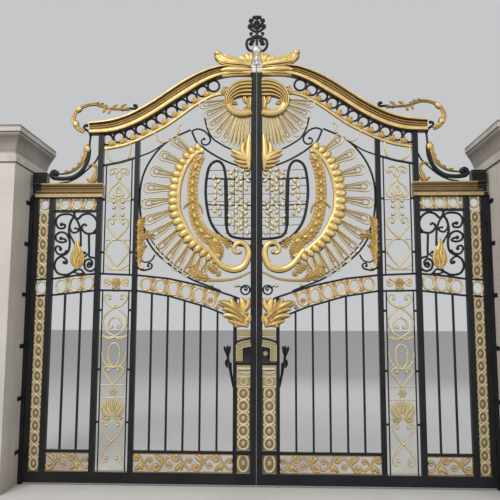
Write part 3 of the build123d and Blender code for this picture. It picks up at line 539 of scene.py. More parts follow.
bright_gilding = new_gilding("bright_gilding", bright=(0.80, 0.60, 0.24), middle_tone=(0.50, 0.32, 0.10),
                             groove_and_shade=(0.07, 0.035, 0.012), metal=0.4, polish=(0.32, 0.52))
crown_work = []
for rib, half_width, out, level, face in (
    ([(0.056, 3.918), (0.14, 3.926), (0.22, 3.934), (0.30, 3.962), (0.352, 4.004), (0.385, 4.040)],
     0.044, 0.040, 0.0, smooth_leaf_face),
    ([(0.056, 3.945), (0.12, 3.953), (0.19, 3.960), (0.25, 3.980), (0.30, 4.010), (0.330, 4.036)],
     0.030, 0.032, 0.0, smooth_leaf_face),
    ([(0.22, 3.925), (0.30, 3.940), (0.360, 3.972), (0.400, 4.018)], 0.038, 0.036, 0.0, smooth_leaf_face),
    ([(0.056, 3.888), (0.14, 3.892), (0.22, 3.898), (0.30, 3.912), (0.37, 3.934)],
     0.034, 0.032, 0.040, leaf_face),
    ([(0.056, 3.848), (0.14, 3.850), (0.22, 3.852), (0.29, 3.852), (0.350, 3.842)],
     0.034, 0.030, 0.044, smooth_leaf_face),
    ([(0.056, 3.806), (0.14, 3.806), (0.22, 3.804), (0.285, 3.796), (0.335, 3.784)],
     0.030, 0.028, 0.044, leaf_face),
    ([(0.066, 3.920), (0.076, 3.965), (0.094, 4.000), (0.116, 4.028)], 0.034, 0.032, 0.0, smooth_leaf_face),
    ([(0.060, 3.930), (0.056, 3.970), (0.054, 4.010), (0.060, 4.046)], 0.024, 0.026, 0.0, smooth_leaf_face),
    ([(0.085, 3.925), (0.120, 3.965), (0.150, 3.985), (0.182, 3.988)], 0.030, 0.028, 0.0, smooth_leaf_face),
):
    crown_work.append(blade(rib, half_width, out, level, 5, face))
crown_work += boss_pair(0.380, 4.030, 0.040, 0.034, 0.038, 0.7)
crown_work += boss_pair(0.366, 3.992, 0.050, 0.044, 0.0342, 0.9)
hang_on_leaves("crown_leaf", crown_work, bright_gilding, ["arch_cornice"])


# Under the arch runs a second gilt rail, a half-round on a flat, with black rings standing between
# the two and a gilt three-pointed leaf on the rail at each meeting of two rings.
round_face = tuple((math.sin(math.radians(a)), math.cos(math.radians(a)),
                    0.62 + 0.3 * math.cos(math.radians(a * 2))) for a in range(0, 360, 45))
rail_face = ((-1.0, 0.35, 0.0), (-0.84, 0.55, 0.0), (-0.72, 0.80, 0.7), (-0.4, 0.96, 1.0), (0.05, 1.0, 1.0),
             (0.36, 0.92, 0.95), (0.52, 0.7, 0.2), (0.60, 0.55, 0.0), (0.72, 0.62, 0.6), (1.0, 0.5, 0.5))
band_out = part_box("right_arch_band")[1].y
rail_half = 0.019
inner_rail_line = flow([(0.335, 3.632), (0.44, 3.605), (0.59, 3.520), (0.73, 3.420), (0.87, 3.320),
                        (1.02, 3.240), (1.14, 3.180), (1.30, 3.125), (1.458, 3.098)])


# How high a line runs at one distance from the meeting line.
def level_at(line, x):
    for (x1, z1), (x2, z2) in zip(line, line[1:]):
        if x1 <= x <= x2:
            return z1 + (z2 - z1) * (x - x1) / (x2 - x1)
    return line[0][1] if x < line[0][0] else line[-1][1]


# A ring of bar; squash draws it out or flattens it to an oval.
def hoop(x, z, radius, bar, out, steps=20, squash=1.0):
    circle = []
    for i in range(steps):
        angle = math.tau * i / steps
        circle.append((x + radius * math.cos(angle), z + radius * squash * math.sin(angle)))
    return drawn_bar(circle, round_face, bar, out, closed=True)


# A short straight leaf from (x, z), widest half_way out and pointed at tip.
def leaf_towards(x, z, aim, half_way, tip, half_width, out, level=0.0):
    points = [(x + reach * math.cos(aim), z + reach * math.sin(aim)) for reach in (0, half_way, tip)]
    return blade(points, half_width, out, level, 3)


first_ring, last_ring = 0.415, 1.45
ring_spacing = 0.116
ring_bar, ring_depth = 0.0105, 0.012
slope_reach = 0.02
places = []
x = first_ring
while x < last_ring:
    slope = math.atan2(level_at(lower_line, x + slope_reach) - level_at(lower_line, x - slope_reach),
                       2 * slope_reach)
    places.append((x, slope))
    x += ring_spacing * math.cos(slope)
black_rings = []
rail_leaves = []
for i, (x, slope) in enumerate(places):
    foot = level_at(inner_rail_line, x) + rail_half / math.cos(slope)
    top = level_at(lower_line, x)
    outside = (top - foot) / 2 * math.cos(slope)
    black_rings.append(hoop(x, (foot + top) / 2 + 0.006, outside - 0.007, ring_bar, ring_depth))
    if i + 1 < len(places):
        leaf_x = (x + places[i + 1][0]) / 2
        leaf_foot = level_at(inner_rail_line, leaf_x + 0.010) + rail_half * 0.8
        up = slope + math.pi / 2
        for turn, long, half_width in ((0.0, 0.070, 0.019), (0.70, 0.060, 0.016), (-0.70, 0.060, 0.016)):
            rail_leaves.append(leaf_towards(leaf_x, leaf_foot, up + turn, long * 0.5, long, half_width,
                                            0.016, 0.006))
hang_on_leaves("arch_rings", black_rings, black_paint, ["arch_band"])
inner_rail = drawn_bar(inner_rail_line, both_faces(rail_face), rail_half, band_out)
hang_on_leaves("inner_rail", [inner_rail] + rail_leaves, arch_gilding, ["arch_band"])


# Half shell on each side of the meeting line, a casting with flutes that sweep from the stile round
# its outer side, an opening at its heart, and a smooth roll below the opening.
shell_face = [(-1.0, -0.6, 0.2), (-1.0, 0.1, 0.3)]
shell_ribs = 5
for rib in range(shell_ribs):
    foot = -1.0 + 2.0 * rib / shell_ribs
    step = 2.0 / shell_ribs
    crown = 0.62 + 0.38 * math.sin(math.pi * (rib + 0.5) / shell_ribs)
    shell_face += [(foot + step * 0.14, crown * 0.66, 0.30), (foot + step * 0.32, crown * 0.94, 0.95),
                   (foot + step * 0.56, crown, 1.0), (foot + step * 0.80, crown * 0.86, 0.8),
                   (foot + step * 0.96, crown * 0.56, 0.10)]
shell_face += [(1.0, 0.1, 0.3), (1.0, -0.6, 0.2)]

# the line that the flutes follow, round the opening, and how wide they spread along it
shell_line = flow([(0.048, 3.678), (0.110, 3.678), (0.175, 3.665), (0.228, 3.632), (0.262, 3.590),
                   (0.272, 3.545), (0.260, 3.495), (0.226, 3.452), (0.178, 3.430), (0.125, 3.424),
                   (0.080, 3.430), (0.050, 3.440)], 5)
shell_halves = flow([(0.089,), (0.088,), (0.080,), (0.066,), (0.050,), (0.038,), (0.034,), (0.034,), (0.036,),
                     (0.037,), (0.034,), (0.030,)], 5)
shell_level = 0.010
shell_widths = [half[0] for half in shell_halves]
shell_work = [drawn_bar(shell_line, shell_face, shell_widths, [0.024 + w * 0.22 for w in shell_widths],
                        shell_level)]
roll_start = 28
roll_line = shell_line[roll_start:]
roll_widths = [w * 0.92 for w in shell_widths[roll_start:]]
shell_work.append(drawn_bar(roll_line, round_face, roll_widths, [w * 0.9 for w in roll_widths],
                            shell_level + 0.008))
for points, half_width in (([(0.058, 3.610), (0.070, 3.540), (0.062, 3.455)], 0.026),
                           ([(0.120, 3.610), (0.112, 3.560), (0.080, 3.515)], 0.024),
                           ([(0.112, 3.430), (0.112, 3.470), (0.088, 3.500)], 0.020),
                           ([(0.262, 3.545), (0.222, 3.538), (0.180, 3.515)], 0.026)):
    shell_work.append(blade(points, half_width, 0.026, shell_level, 4))
shell_work += acanthus([(0.345, 3.610), (0.318, 3.640), (0.300, 3.690)], 0.045, 3, shell_level, 0.014)
hang_on_leaves("half_shell", shell_work, bright_gilding, ["shell_fan"])


# Light looped wires fan out from behind the shell, pale outside with brown loops inside them that are
# painted shade, and towards the stile they close up into a leafy fringe.

# A wire bent back on itself, narrow at the root and rounded at the tip.
def wire_loop(root, tip, root_half, tip_half, bar, level):
    dx, dz = tip[0] - root[0], tip[1] - root[1]
    long = math.hypot(dx, dz)
    ux, uz = dx / long, dz / long
    reach = max(long - tip_half, long * 0.5)
    outline = []
    for along, half in ((0.0, root_half), (0.35, root_half + (tip_half - root_half) * 0.30),
                        (0.7, root_half + (tip_half - root_half) * 0.74), (0.94, tip_half)):
        outline.append((reach * along, half))
    for angle in (70, 45, 20):
        outline.append((reach + tip_half * math.cos(math.radians(angle)),
                        tip_half * math.sin(math.radians(angle))))
    points = []
    for a, b in outline + [(a, -b) for a, b in reversed(outline)]:
        points.append((root[0] + ux * a - uz * b, root[1] + uz * a + ux * b))
    return drawn_bar(flow(points, 3), round_face, bar, bar * 1.1, level)


def part_way(start, end, share):
    return start[0] + (end[0] - start[0]) * share, start[1] + (end[1] - start[1]) * share


pale_gilding = new_gilding("pale_gilding", bright=(0.74, 0.64, 0.39), middle_tone=(0.46, 0.37, 0.19),
                           groove_and_shade=(0.12, 0.08, 0.04), metal=0.25, polish=(0.4, 0.6))
fan_level = 0.004
fan_wires = []
fan_shade_loops = []
for root, tip, half_width in (((0.270, 3.560), (0.548, 3.512), 0.036),
                              ((0.262, 3.520), (0.508, 3.405), 0.036),
                              ((0.245, 3.480), (0.462, 3.292), 0.035),
                              ((0.220, 3.450), (0.396, 3.205), 0.032),
                              ((0.192, 3.430), (0.318, 3.155), 0.028)):
    fan_wires.append(wire_loop(root, tip, 0.014, half_width, 0.0075, fan_level))
    # inner loops in brown dull gilding: painted shade inside each pale loop
    for share in (0.86, 0.70):
        fan_shade_loops.append(wire_loop(root, part_way(root, tip, share), 0.005, half_width * (share - 0.38),
                                    0.0055, fan_level))

# the fringe: two thin leaves to a finger, the brown one a little outside the pale one as painted shade
for root, tip in (((0.170, 3.425), (0.262, 3.118)), ((0.150, 3.422), (0.222, 3.100)),
                  ((0.130, 3.420), (0.180, 3.088)), ((0.110, 3.418), (0.142, 3.084)),
                  ((0.088, 3.418), (0.102, 3.092)), ((0.068, 3.418), (0.070, 3.110))):
    middle = ((root[0] + tip[0]) / 2 + 0.010, (root[1] + tip[1]) / 2)
    fan_wires.append(blade([root, middle, tip], 0.014, 0.010, fan_level, 5))
    shade_line = [(root[0] + 0.012, root[1]), (middle[0] + 0.014, middle[1]), (tip[0] + 0.022, tip[1] + 0.03)]
    fan_shade_loops.append(blade(shade_line, 0.009, 0.009, 0.002, 5))
hang_on_leaves("shell_wires", fan_wires, pale_gilding, ["shell_fan"])
hang_on_leaves("shell_shade_loops", fan_shade_loops, dull_gilding)


# Black scrolls of the arch field, forged from round bar: the great hoop that the wreath hangs on,
# the crossing arcs above it, and the lyre-shaped basket in its middle.

# Rolls a scroll on the end of a line, from its first radius inwards, by a turn in degrees.
def curl_on(line, radius, turn):
    steps = 16
    shrink = 0.22
    (x1, z1), (x, z) = line[-2], line[-1]
    heading = math.atan2(z - z1, x - x1)
    points = list(line)
    step_turn = math.radians(turn) / steps
    for i in range(steps):
        part = (i + 0.5) / steps
        heading += step_turn / 2
        stride = radius * (1 - (1 - shrink) * part) * abs(step_turn)
        x, z = x + stride * math.cos(heading), z + stride * math.sin(heading)
        heading += step_turn / 2
        points.append((x, z))
    return points


# A forged bar along a line. Tail is the (radius, turn in degrees) of a scroll rolled on its far end,
# drawn down as it goes in and finished with a round eye. An eye may also close the near end.
def forged(points, bar, tail=None, out=None, eye=1.5, eye_at_root=False):
    line = flow(points)
    if tail:
        line = curl_on(line, *tail)
    drawn_down = 12
    last = len(line) - 1
    widths = [bar] * (last + 1)
    if tail:
        for i in range(last - drawn_down + 1, last + 1):
            widths[i] = bar * (0.7 + 0.3 * (last - i) / drawn_down)
    depth = out or bar
    shapes = [drawn_bar(line, round_face, widths, [depth * w / bar for w in widths])]
    eyes = [line[-1]] if tail else []
    if eye_at_root:
        eyes.append(line[0])
    for x, z in eyes:
        shapes += boss_pair(x, z, bar * eye, bar * eye, depth * 1.25)
    return shapes


field_iron = []
for line, bar, tail in (
    ([(0.33, 1.738), (0.43, 1.778), (0.61, 1.850), (0.80, 1.975), (0.97, 2.130), (1.07, 2.330),
      (1.105, 2.600), (1.085, 2.810), (1.00, 3.000), (0.85, 3.165), (0.63, 3.275)], 0.0095, None),
    ([(0.60, 1.870), (0.79, 2.000), (0.94, 2.150), (1.02, 2.265), (1.075, 2.36)], 0.0065, None),
    ([(0.62, 3.262), (0.575, 3.160), (0.52, 3.110), (0.44, 3.050), (0.32, 2.980), (0.20, 2.930),
      (0.05, 2.885)], 0.0095, None),
    ([(0.62, 3.262), (0.565, 3.283), (0.50, 3.262), (0.455, 3.215)], 0.0090, (0.062, 330)),
    ([(0.50, 3.400), (0.47, 3.280), (0.42, 3.190), (0.36, 3.145), (0.28, 3.098), (0.215, 3.072)],
     0.0085, None),
    ([(0.052, 2.222), (0.18, 2.232), (0.252, 2.262), (0.282, 2.350), (0.286, 2.580), (0.292, 2.800),
      (0.318, 2.925), (0.378, 2.968), (0.448, 2.915), (0.478, 2.760), (0.476, 2.590), (0.440, 2.410),
      (0.37, 2.290), (0.27, 2.207), (0.16, 2.165), (0.052, 2.155)], 0.0135, None),
    ([(0.282, 2.350), (0.286, 2.580), (0.292, 2.800)], 0.019, None),
    ([(1.112, 1.955), (1.06, 1.930), (1.00, 1.940)], 0.0090, (0.034, -330)),
    ([(1.075, 2.02), (1.04, 2.005), (0.985, 2.02), (0.95, 2.075)], 0.0075, None),
    ([(0.145, 1.748), (0.128, 1.772), (0.104, 1.774)], 0.0070, (0.020, 300)),
    ([(0.138, 1.768), (0.160, 1.782), (0.190, 1.786)], 0.0060, None),
    ([(1.112, 3.020), (1.00, 3.065), (0.90, 3.13)], 0.0075, None),
    ([(0.57, 2.085), (0.66, 2.205), (0.722, 2.35), (0.757, 2.53), (0.756, 2.68), (0.73, 2.82), (0.675, 2.93),
      (0.585, 3.015)], 0.009, None),
):
    field_iron += forged(line, bar, tail)
# a small ring low down beside the meeting stile
field_iron.append(hoop(0.103, 1.748, 0.042, 0.0080, 0.009))

# the basket's wires: two upright and nine across, wavy by hand, and two stouter bars
upright_wire, cross_wire, cross_bar = 0.0032, 0.0030, 0.0075
for place in (0.125, 0.21):
    field_iron += forged([(place, 2.235), (place, 2.55), (place, 2.89)], upright_wire)
for up in range(9):
    z = 2.275 + up * 0.075
    field_iron += forged([(0.052, z), (0.16, z - 0.006), (0.29, z)], cross_wire)
    if 2.33 < z < 2.92:
        field_iron += forged([(0.30, z), (0.38, z + 0.004), (0.468 if z > 2.45 else 0.43, z)], cross_wire)
for z in (2.540, 2.790):
    field_iron += forged([(0.052, z), (0.25, z), (0.470, z + 0.01)], cross_bar)
hang_on_leaves("field_scrolls", field_iron, black_paint, ["hoop_scrolls"])


# Little pale flowers wired all over the basket, each a beaten petal set its own way and showing on both
# sides of the leaf, and two more on the wires over the acanthus below.
sowing = random.Random(41)
petal_long, petal_short, petal_out = 0.029, 0.018, 0.012
basket_top = 2.90
side_pocket_foot, side_pocket_top = 2.44, 2.88
petals = [boss(0.414, 1.792, 0.020, 0.015, 0.018, 0.0), boss(0.185, 1.786, 0.022, 0.018, 0.018, 0.0)]
for column, across_at in enumerate((0.092, 0.140, 0.188, 0.240, 0.350, 0.400)):
    for row in range(11):
        z = 2.290 + row * 0.060 + (0.030 if column % 2 else 0.0)
        if across_at > 0.3 and not side_pocket_foot < z < side_pocket_top:
            continue
        if z > basket_top or sowing.random() < 0.08:
            continue
        px = across_at + sowing.uniform(-0.014, 0.014)
        pz = z + sowing.uniform(-0.014, 0.014)
        way = sowing.choice((0.6, 2.3, 1.1, 1.9, 1.57))
        for out, level in ((petal_out, 0.008), (-petal_out, -0.008)):
            petals.append(boss(px, pz, petal_long, petal_short, out, level, way))
hang_on_leaves("basket_flowers", petals, pale_gilding)


# The wreath, screwed to the front of the hoop: a smooth rolled rim with gadroons standing round it,
# a leafy band inside, a rolled volute at its foot, and a fan of looped wires all round.
wreath_level = 0.012
ring_line = flow([(0.520, 3.098), (0.616, 3.040), (0.704, 2.905), (0.757, 2.720), (0.757, 2.506),
                  (0.705, 2.365), (0.628, 2.230), (0.510, 2.118), (0.430, 2.062), (0.345, 2.035)], 8)


# The place a share of the way along a line, and the line's heading there.
def at_share(line, share):
    lengths = [math.dist(a, b) for a, b in zip(line, line[1:])]
    left = share * sum(lengths)
    for (a, b), length in zip(zip(line, line[1:]), lengths):
        if left <= length:
            return ((a[0] + (b[0] - a[0]) * left / length, a[1] + (b[1] - a[1]) * left / length),
                    math.atan2(b[1] - a[1], b[0] - a[0]))
        left -= length
    return line[-1], math.atan2(line[-1][1] - line[-2][1], line[-1][0] - line[-2][0])


# The same line moved sideways.
def beside(line, offset):
    moved = []
    for i, (x, z) in enumerate(line):
        before = line[max(i - 1, 0)]
        after = line[min(i + 1, len(line) - 1)]
        heading = math.atan2(after[1] - before[1], after[0] - before[0])
        moved.append((x - offset * math.sin(heading), z + offset * math.cos(heading)))
    return moved


rim_line = beside(ring_line, -0.026)
rim_halves = [0.027 - 0.008 * i / len(rim_line) for i in range(len(rim_line))]
wreath_work = [drawn_bar(rim_line, round_face, rim_halves, 0.020, wreath_level)]
gadroon_count = 21
gadroon_size = 0.052
gadroon_offset = 0.014
for i in range(gadroon_count):
    share = (i + 0.5) / gadroon_count
    (x, z), heading = at_share(ring_line, share)
    x -= math.sin(heading) * gadroon_offset
    z += math.cos(heading) * gadroon_offset
    size = gadroon_size * (0.80 + 0.25 * math.sin(math.pi * min(share * 1.1, 1.0)))
    for out, level in ((0.030, wreath_level), (-0.012, wreath_level - 0.006)):
        wreath_work.append(boss(x, z, size * 1.22, size * 0.80, out, level, heading + math.pi / 2))

# the leafy band, a strip of small leaves laid over each other with buds on it
band_line = flow([(0.545, 2.995), (0.582, 2.885), (0.602, 2.755), (0.602, 2.620), (0.588, 2.480),
                  (0.548, 2.355), (0.485, 2.265), (0.410, 2.215), (0.325, 2.180)], 8)
wreath_work.append(drawn_bar(band_line, leaf_face, 0.026, 0.012, wreath_level))
sprig_count = 24
for i in range(sprig_count):
    share = (i + 0.4) / sprig_count
    (x, z), heading = at_share(band_line, share)
    heavy = 1.0 + 0.35 * max(share - 0.5, 0) * 2
    if i % 2 == 0:
        wreath_work.append(boss(x, z, 0.027 * heavy, 0.019 * heavy, 0.028, wreath_level, heading))
    for turn, lean, length in ((1, 0.75, 0.074), (-1, 0.75, 0.074), (1, 1.35, 0.062), (-1, 1.35, 0.062)):
        aim = heading + math.pi + turn * lean
        long = length * heavy
        points = [(x, z), (x + long * 0.55 * math.cos(aim), z + long * 0.55 * math.sin(aim)),
                  (x + long * math.cos(aim - turn * 0.5), z + long * math.sin(aim - turn * 0.5))]
        wreath_work.append(blade(points, 0.0150 * heavy, 0.018, wreath_level, 3))
for points in ([(0.610, 2.575), (0.655, 2.545), (0.690, 2.500)],
               [(0.605, 2.560), (0.612, 2.480), (0.600, 2.400)],
               [(0.600, 2.575), (0.560, 2.560), (0.518, 2.515), (0.506, 2.450)]):
    wreath_work.append(blade(points, 0.013, 0.018, wreath_level + 0.006, 4))

# the volute, thickest where it turns up
volute_line = flow([(0.440, 2.120), (0.385, 2.045), (0.335, 1.985), (0.275, 1.948), (0.201, 1.934),
                    (0.120, 1.966), (0.076, 2.062), (0.090, 2.150), (0.146, 2.186), (0.200, 2.160),
                    (0.210, 2.108), (0.172, 2.084)], 6)
thickest = 0.74
volute_halves = []
for i in range(len(volute_line)):
    t = i / (len(volute_line) - 1)
    if t < thickest:
        volute_halves.append(0.024 + 0.010 * math.sin(math.pi * min(t * 1.35, 1.0)))
    else:
        volute_halves.append(0.024 - 0.008 * (t - thickest) / (1 - thickest))
wreath_work.append(drawn_bar(volute_line, round_face, volute_halves, [w * 1.05 for w in volute_halves],
                             wreath_level + 0.006))
wreath_work.append(boss(0.160, 2.098, 0.028, 0.025, 0.032, wreath_level))

# the arc under the volute, and the leaves that volute and arc run out of
arc_line = flow([(0.612, 1.930), (0.575, 1.880), (0.500, 1.850), (0.386, 1.834), (0.201, 1.850),
                 (0.056, 1.912)], 7)
arc_halves = [0.024 - 0.015 * i / (len(arc_line) - 1) for i in range(len(arc_line))]
wreath_work.append(drawn_bar(arc_line, leaf_face, arc_halves, [w * 0.9 for w in arc_halves], wreath_level))
for rib, reach, count, out in (
    ([(0.470, 2.225), (0.415, 2.190), (0.370, 2.120), (0.345, 2.030)], 0.085, 8, 0.022),
    ([(0.330, 2.235), (0.280, 2.195), (0.250, 2.140)], 0.055, 4, 0.018),
    ([(0.420, 1.850), (0.510, 1.868), (0.575, 1.915), (0.600, 1.965)], 0.070, 6, 0.020),
    ([(0.330, 1.875), (0.390, 1.930), (0.450, 1.985)], 0.055, 5, 0.016),
):
    wreath_work += acanthus(rib, reach, count, wreath_level, out)

# acanthus climbing the arch stile, in three tiers with curled tips
for rib, reach, count in (
    ([(1.085, 1.985), (1.100, 2.060), (1.085, 2.135), (1.040, 2.170)], 0.066, 6),
    ([(1.098, 2.090), (1.102, 2.170), (1.080, 2.235), (1.010, 2.262), (0.972, 2.225)], 0.064, 7),
    ([(1.100, 2.215), (1.104, 2.300), (1.090, 2.375), (1.068, 2.425)], 0.062, 6),
):
    wreath_work += acanthus(rib, reach, count, wreath_level, 0.020)
stalk_line = flow([(1.108, 2.400), (1.106, 2.200), (1.098, 2.040), (1.090, 1.960), (1.050, 1.948)], 6)
wreath_work.append(drawn_bar(stalk_line, round_face, 0.012, 0.016, wreath_level))

# leaf in the fork over the basket, standing against the meeting stile
for rib, half_width in (([(0.072, 2.890), (0.078, 3.000), (0.076, 3.120), (0.062, 3.240)], 0.030),
                        ([(0.080, 2.960), (0.125, 3.030), (0.135, 3.090), (0.115, 3.150)], 0.024),
                        ([(0.075, 2.960), (0.130, 3.010), (0.185, 3.045), (0.245, 3.075)], 0.026),
                        ([(0.070, 2.960), (0.140, 2.985), (0.200, 3.010), (0.250, 3.030)], 0.020),
                        ([(0.062, 2.940), (0.120, 2.945), (0.170, 2.955), (0.222, 2.975)], 0.020),
                        ([(0.060, 2.920), (0.100, 2.905), (0.145, 2.912), (0.180, 2.928)], 0.018),
                        ([(0.060, 2.885), (0.085, 2.872), (0.120, 2.878)], 0.013)):
    wreath_work.append(blade(rib, half_width * 1.15, 0.028, wreath_level, 5, smooth_leaf_face))
wreath_work.append(boss(0.520, 3.055, 0.026, 0.020, 0.020, wreath_level, 0.6))
hang_on_leaves("gilt_wreath", wreath_work, bright_gilding, ["wreath"])

# looped wires: wide and open at the top and side, narrower and closer together lower down
root_offset = 0.040
wreath_wires = []
wreath_shade_loops = []
for tip, root_share, half_width in (((0.804, 3.195), 0.085, 0.047), ((0.925, 3.045), 0.180, 0.048),
                                    ((1.011, 2.885), 0.275, 0.048), ((1.070, 2.717), 0.362, 0.048),
                                    ((1.088, 2.553), 0.440, 0.047), ((1.066, 2.390), 0.515, 0.045),
                                    ((1.005, 2.240), 0.585, 0.042), ((0.938, 2.110), 0.650, 0.040),
                                    ((0.850, 2.010), 0.712, 0.038), ((0.762, 1.930), 0.772, 0.036),
                                    ((0.668, 1.875), 0.832, 0.034), ((0.588, 1.865), 0.882, 0.032),
                                    ((0.505, 1.895), 0.930, 0.030)):
    (x, z), heading = at_share(ring_line, root_share)
    root = (x - math.sin(heading) * root_offset, z + math.cos(heading) * root_offset)
    wreath_wires.append(wire_loop(root, tip, half_width * 0.45, half_width, 0.0090, wreath_level - 0.004))
    # inner loops in brown dull gilding: painted shade inside each pale loop
    for share, slim in ((0.86, 0.50), (0.66, 0.26)):
        wreath_shade_loops.append(wire_loop(root, part_way(root, tip, share), half_width * 0.12, half_width * slim,
                                       0.0058, wreath_level - 0.006))

# two loose wires hanging in the corners under the inner rail
for points in (
    [(0.722, 3.338), (0.750, 3.306), (0.747, 3.262), (0.800, 3.195), (0.888, 3.153), (0.942, 3.180),
     (0.958, 3.228), (0.990, 3.245)],
    [(1.438, 3.088), (1.428, 3.030), (1.397, 2.985), (1.319, 2.960), (1.245, 2.985), (1.212, 3.045),
     (1.205, 3.140)],
):
    wreath_wires.append(drawn_bar(flow(points), round_face, 0.0095, 0.010))
hang_on_leaves("wreath_wires", wreath_wires, pale_gilding, ["wreath"])
hang_on_leaves("wreath_shade_loops", wreath_shade_loops, dull_gilding)


# Between the two lock rails runs a row of gilt rings with a bud at each meeting, and a rosette
# where the row crosses the gilt panel. Shorter and paler rows stand above and below the side scrolls.
upper_rail = flow([(0.05, 1.615), (0.19, 1.680), (0.31, 1.720), (0.53, 1.790), (0.82, 1.852), (1.12, 1.884),
                   (1.48, 1.899), (1.70, 1.880), (1.89, 1.852), (2.11, 1.838)])
lower_rail = flow([(0.19, 1.448), (0.31, 1.530), (0.46, 1.590), (0.60, 1.630), (0.81, 1.690), (1.11, 1.738),
                   (1.48, 1.744), (1.70, 1.720), (1.88, 1.700), (2.11, 1.685)])
ring_bar = 0.0105
widest_ring = 0.049
arch_stile_x = 1.2
row_work = []
side_row = []
for spread in ((1.026, 0.897, 0.775, 0.654, 0.536, 0.426), (1.571, 1.694, 1.824), (2.012,)):
    for i, x in enumerate(spread):
        low, high = level_at(lower_rail, x), level_at(upper_rail, x)
        room = (high - low) / 2
        radius = min(room - 0.018, widest_ring)
        on_arch_side = x < arch_stile_x
        ring_home = row_work if on_arch_side else side_row
        ring_home.append(hoop(x, (low + high) / 2, radius, ring_bar, ring_bar,
                              squash=min((room - 0.017) / radius, 1.3)))
        if on_arch_side or i:
            bud_x = x - (0.062 if on_arch_side else 0.060)
            for base, up in ((level_at(lower_rail, bud_x) + 0.010, 1),
                             (level_at(upper_rail, bud_x) - 0.010, -1)):
                row_work.append(blade([(bud_x, base), (bud_x, base + up * 0.022), (bud_x, base + up * 0.050)],
                                      0.013, 0.012, 0.0, 3))
                for turn in (1, -1):
                    row_work.append(blade([(bud_x, base), (bud_x + turn * 0.014, base + up * 0.018),
                                           (bud_x + turn * 0.028, base + up * 0.024)], 0.008, 0.010, 0.0, 3))


# Petals set evenly round a middle.
def flower(x, z, petals, half_way, tip, half_width, out):
    return [leaf_towards(x, z, math.tau * petal / petals, half_way, tip, half_width, out)
            for petal in range(petals)]


# a small flower in the smallest ring
row_work += flower(0.426, 1.652, 6, 0.016, 0.030, 0.010, 0.012)

# the side panel's upper row, right under its cornice
top_row_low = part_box("right_side_panel")[1].z
top_row_middle = (top_row_low + cornice_foot) / 2
top_row_half = (cornice_foot - top_row_low) / 2
top_ring = 0.0430
for x in (1.585, 1.703, 1.820, 2.010):
    side_row.append(hoop(x, top_row_middle, top_ring, 0.0115, ring_bar,
                         squash=(top_row_half - 0.010) / top_ring))
for x in (1.528, 1.644, 1.762, 1.885):
    for base, up in ((top_row_low, 1), (cornice_foot, -1)):
        row_work.append(blade([(x, base), (x, base + up * 0.024), (x, base + up * 0.050)], 0.014, 0.012,
                              0.0, 3))

# the rosette, with a pair of tendrils to each side
rosette_x, rosette_z = 1.308, 1.816
row_work += flower(rosette_x, rosette_z, 8, 0.026, 0.048, 0.014, 0.014)
row_work += boss_pair(rosette_x, rosette_z, 0.014, 0.014, 0.020)
for turn in (1, -1):
    for lift in (1, -1):
        tendril = [(rosette_x + turn * 0.040, rosette_z),
                   (rosette_x + turn * 0.075, rosette_z + lift * 0.026)]
        row_work += forged(tendril, 0.007, (0.026, -turn * lift * 300))

# acanthus cast against the meeting stile where the lock rails come down to it
acanthus_level = 0.026
for rib, half_width, out in (
    ([(0.080, 1.470), (0.150, 1.530), (0.230, 1.590), (0.300, 1.618), (0.360, 1.628)], 0.043, 0.034),
    ([(0.120, 1.480), (0.165, 1.550), (0.205, 1.610), (0.240, 1.672)], 0.036, 0.038),
    ([(0.116, 1.500), (0.120, 1.570), (0.128, 1.630), (0.144, 1.676)], 0.036, 0.034),
    ([(0.120, 1.540), (0.090, 1.585), (0.072, 1.630), (0.078, 1.676)], 0.028, 0.036),
    ([(0.085, 1.450), (0.140, 1.520), (0.200, 1.580), (0.290, 1.625)], 0.064, 0.018),
    ([(0.066, 1.440), (0.062, 1.490), (0.066, 1.530)], 0.020, 0.022),
    ([(0.120, 1.440), (0.180, 1.482), (0.240, 1.510), (0.312, 1.516)], 0.038, 0.030),
    ([(0.100, 1.420), (0.150, 1.436), (0.200, 1.452), (0.262, 1.470)], 0.028, 0.034),
    ([(0.140, 1.500), (0.200, 1.545), (0.260, 1.568), (0.320, 1.572)], 0.030, 0.040),
    ([(0.058, 1.505), (0.084, 1.480), (0.096, 1.440), (0.082, 1.402)], 0.030, 0.036),
    ([(0.130, 1.480), (0.150, 1.450), (0.150, 1.405)], 0.032, 0.034),
    ([(0.160, 1.460), (0.182, 1.430), (0.188, 1.400)], 0.024, 0.028),
):
    row_work.append(blade(rib, half_width, out, acanthus_level, 5, smooth_leaf_face))
for rib, half_width in (([(0.100, 1.490), (0.190, 1.562), (0.280, 1.612), (0.345, 1.640)], 0.013),
                        ([(0.130, 1.500), (0.180, 1.590), (0.222, 1.664)], 0.012),
                        ([(0.130, 1.450), (0.200, 1.492), (0.290, 1.506)], 0.012)):
    row_work.append(blade(rib, half_width, 0.016, acanthus_level + 0.030, 5))
row_work.append(boss(0.088, 1.534, 0.017, 0.014, 0.030, acanthus_level))
hang_on_leaves("ring_work", row_work, arch_gilding, ["ring_row"])
hang_on_leaves("side_rings", side_row, pale_gilding, ["ring_row"])


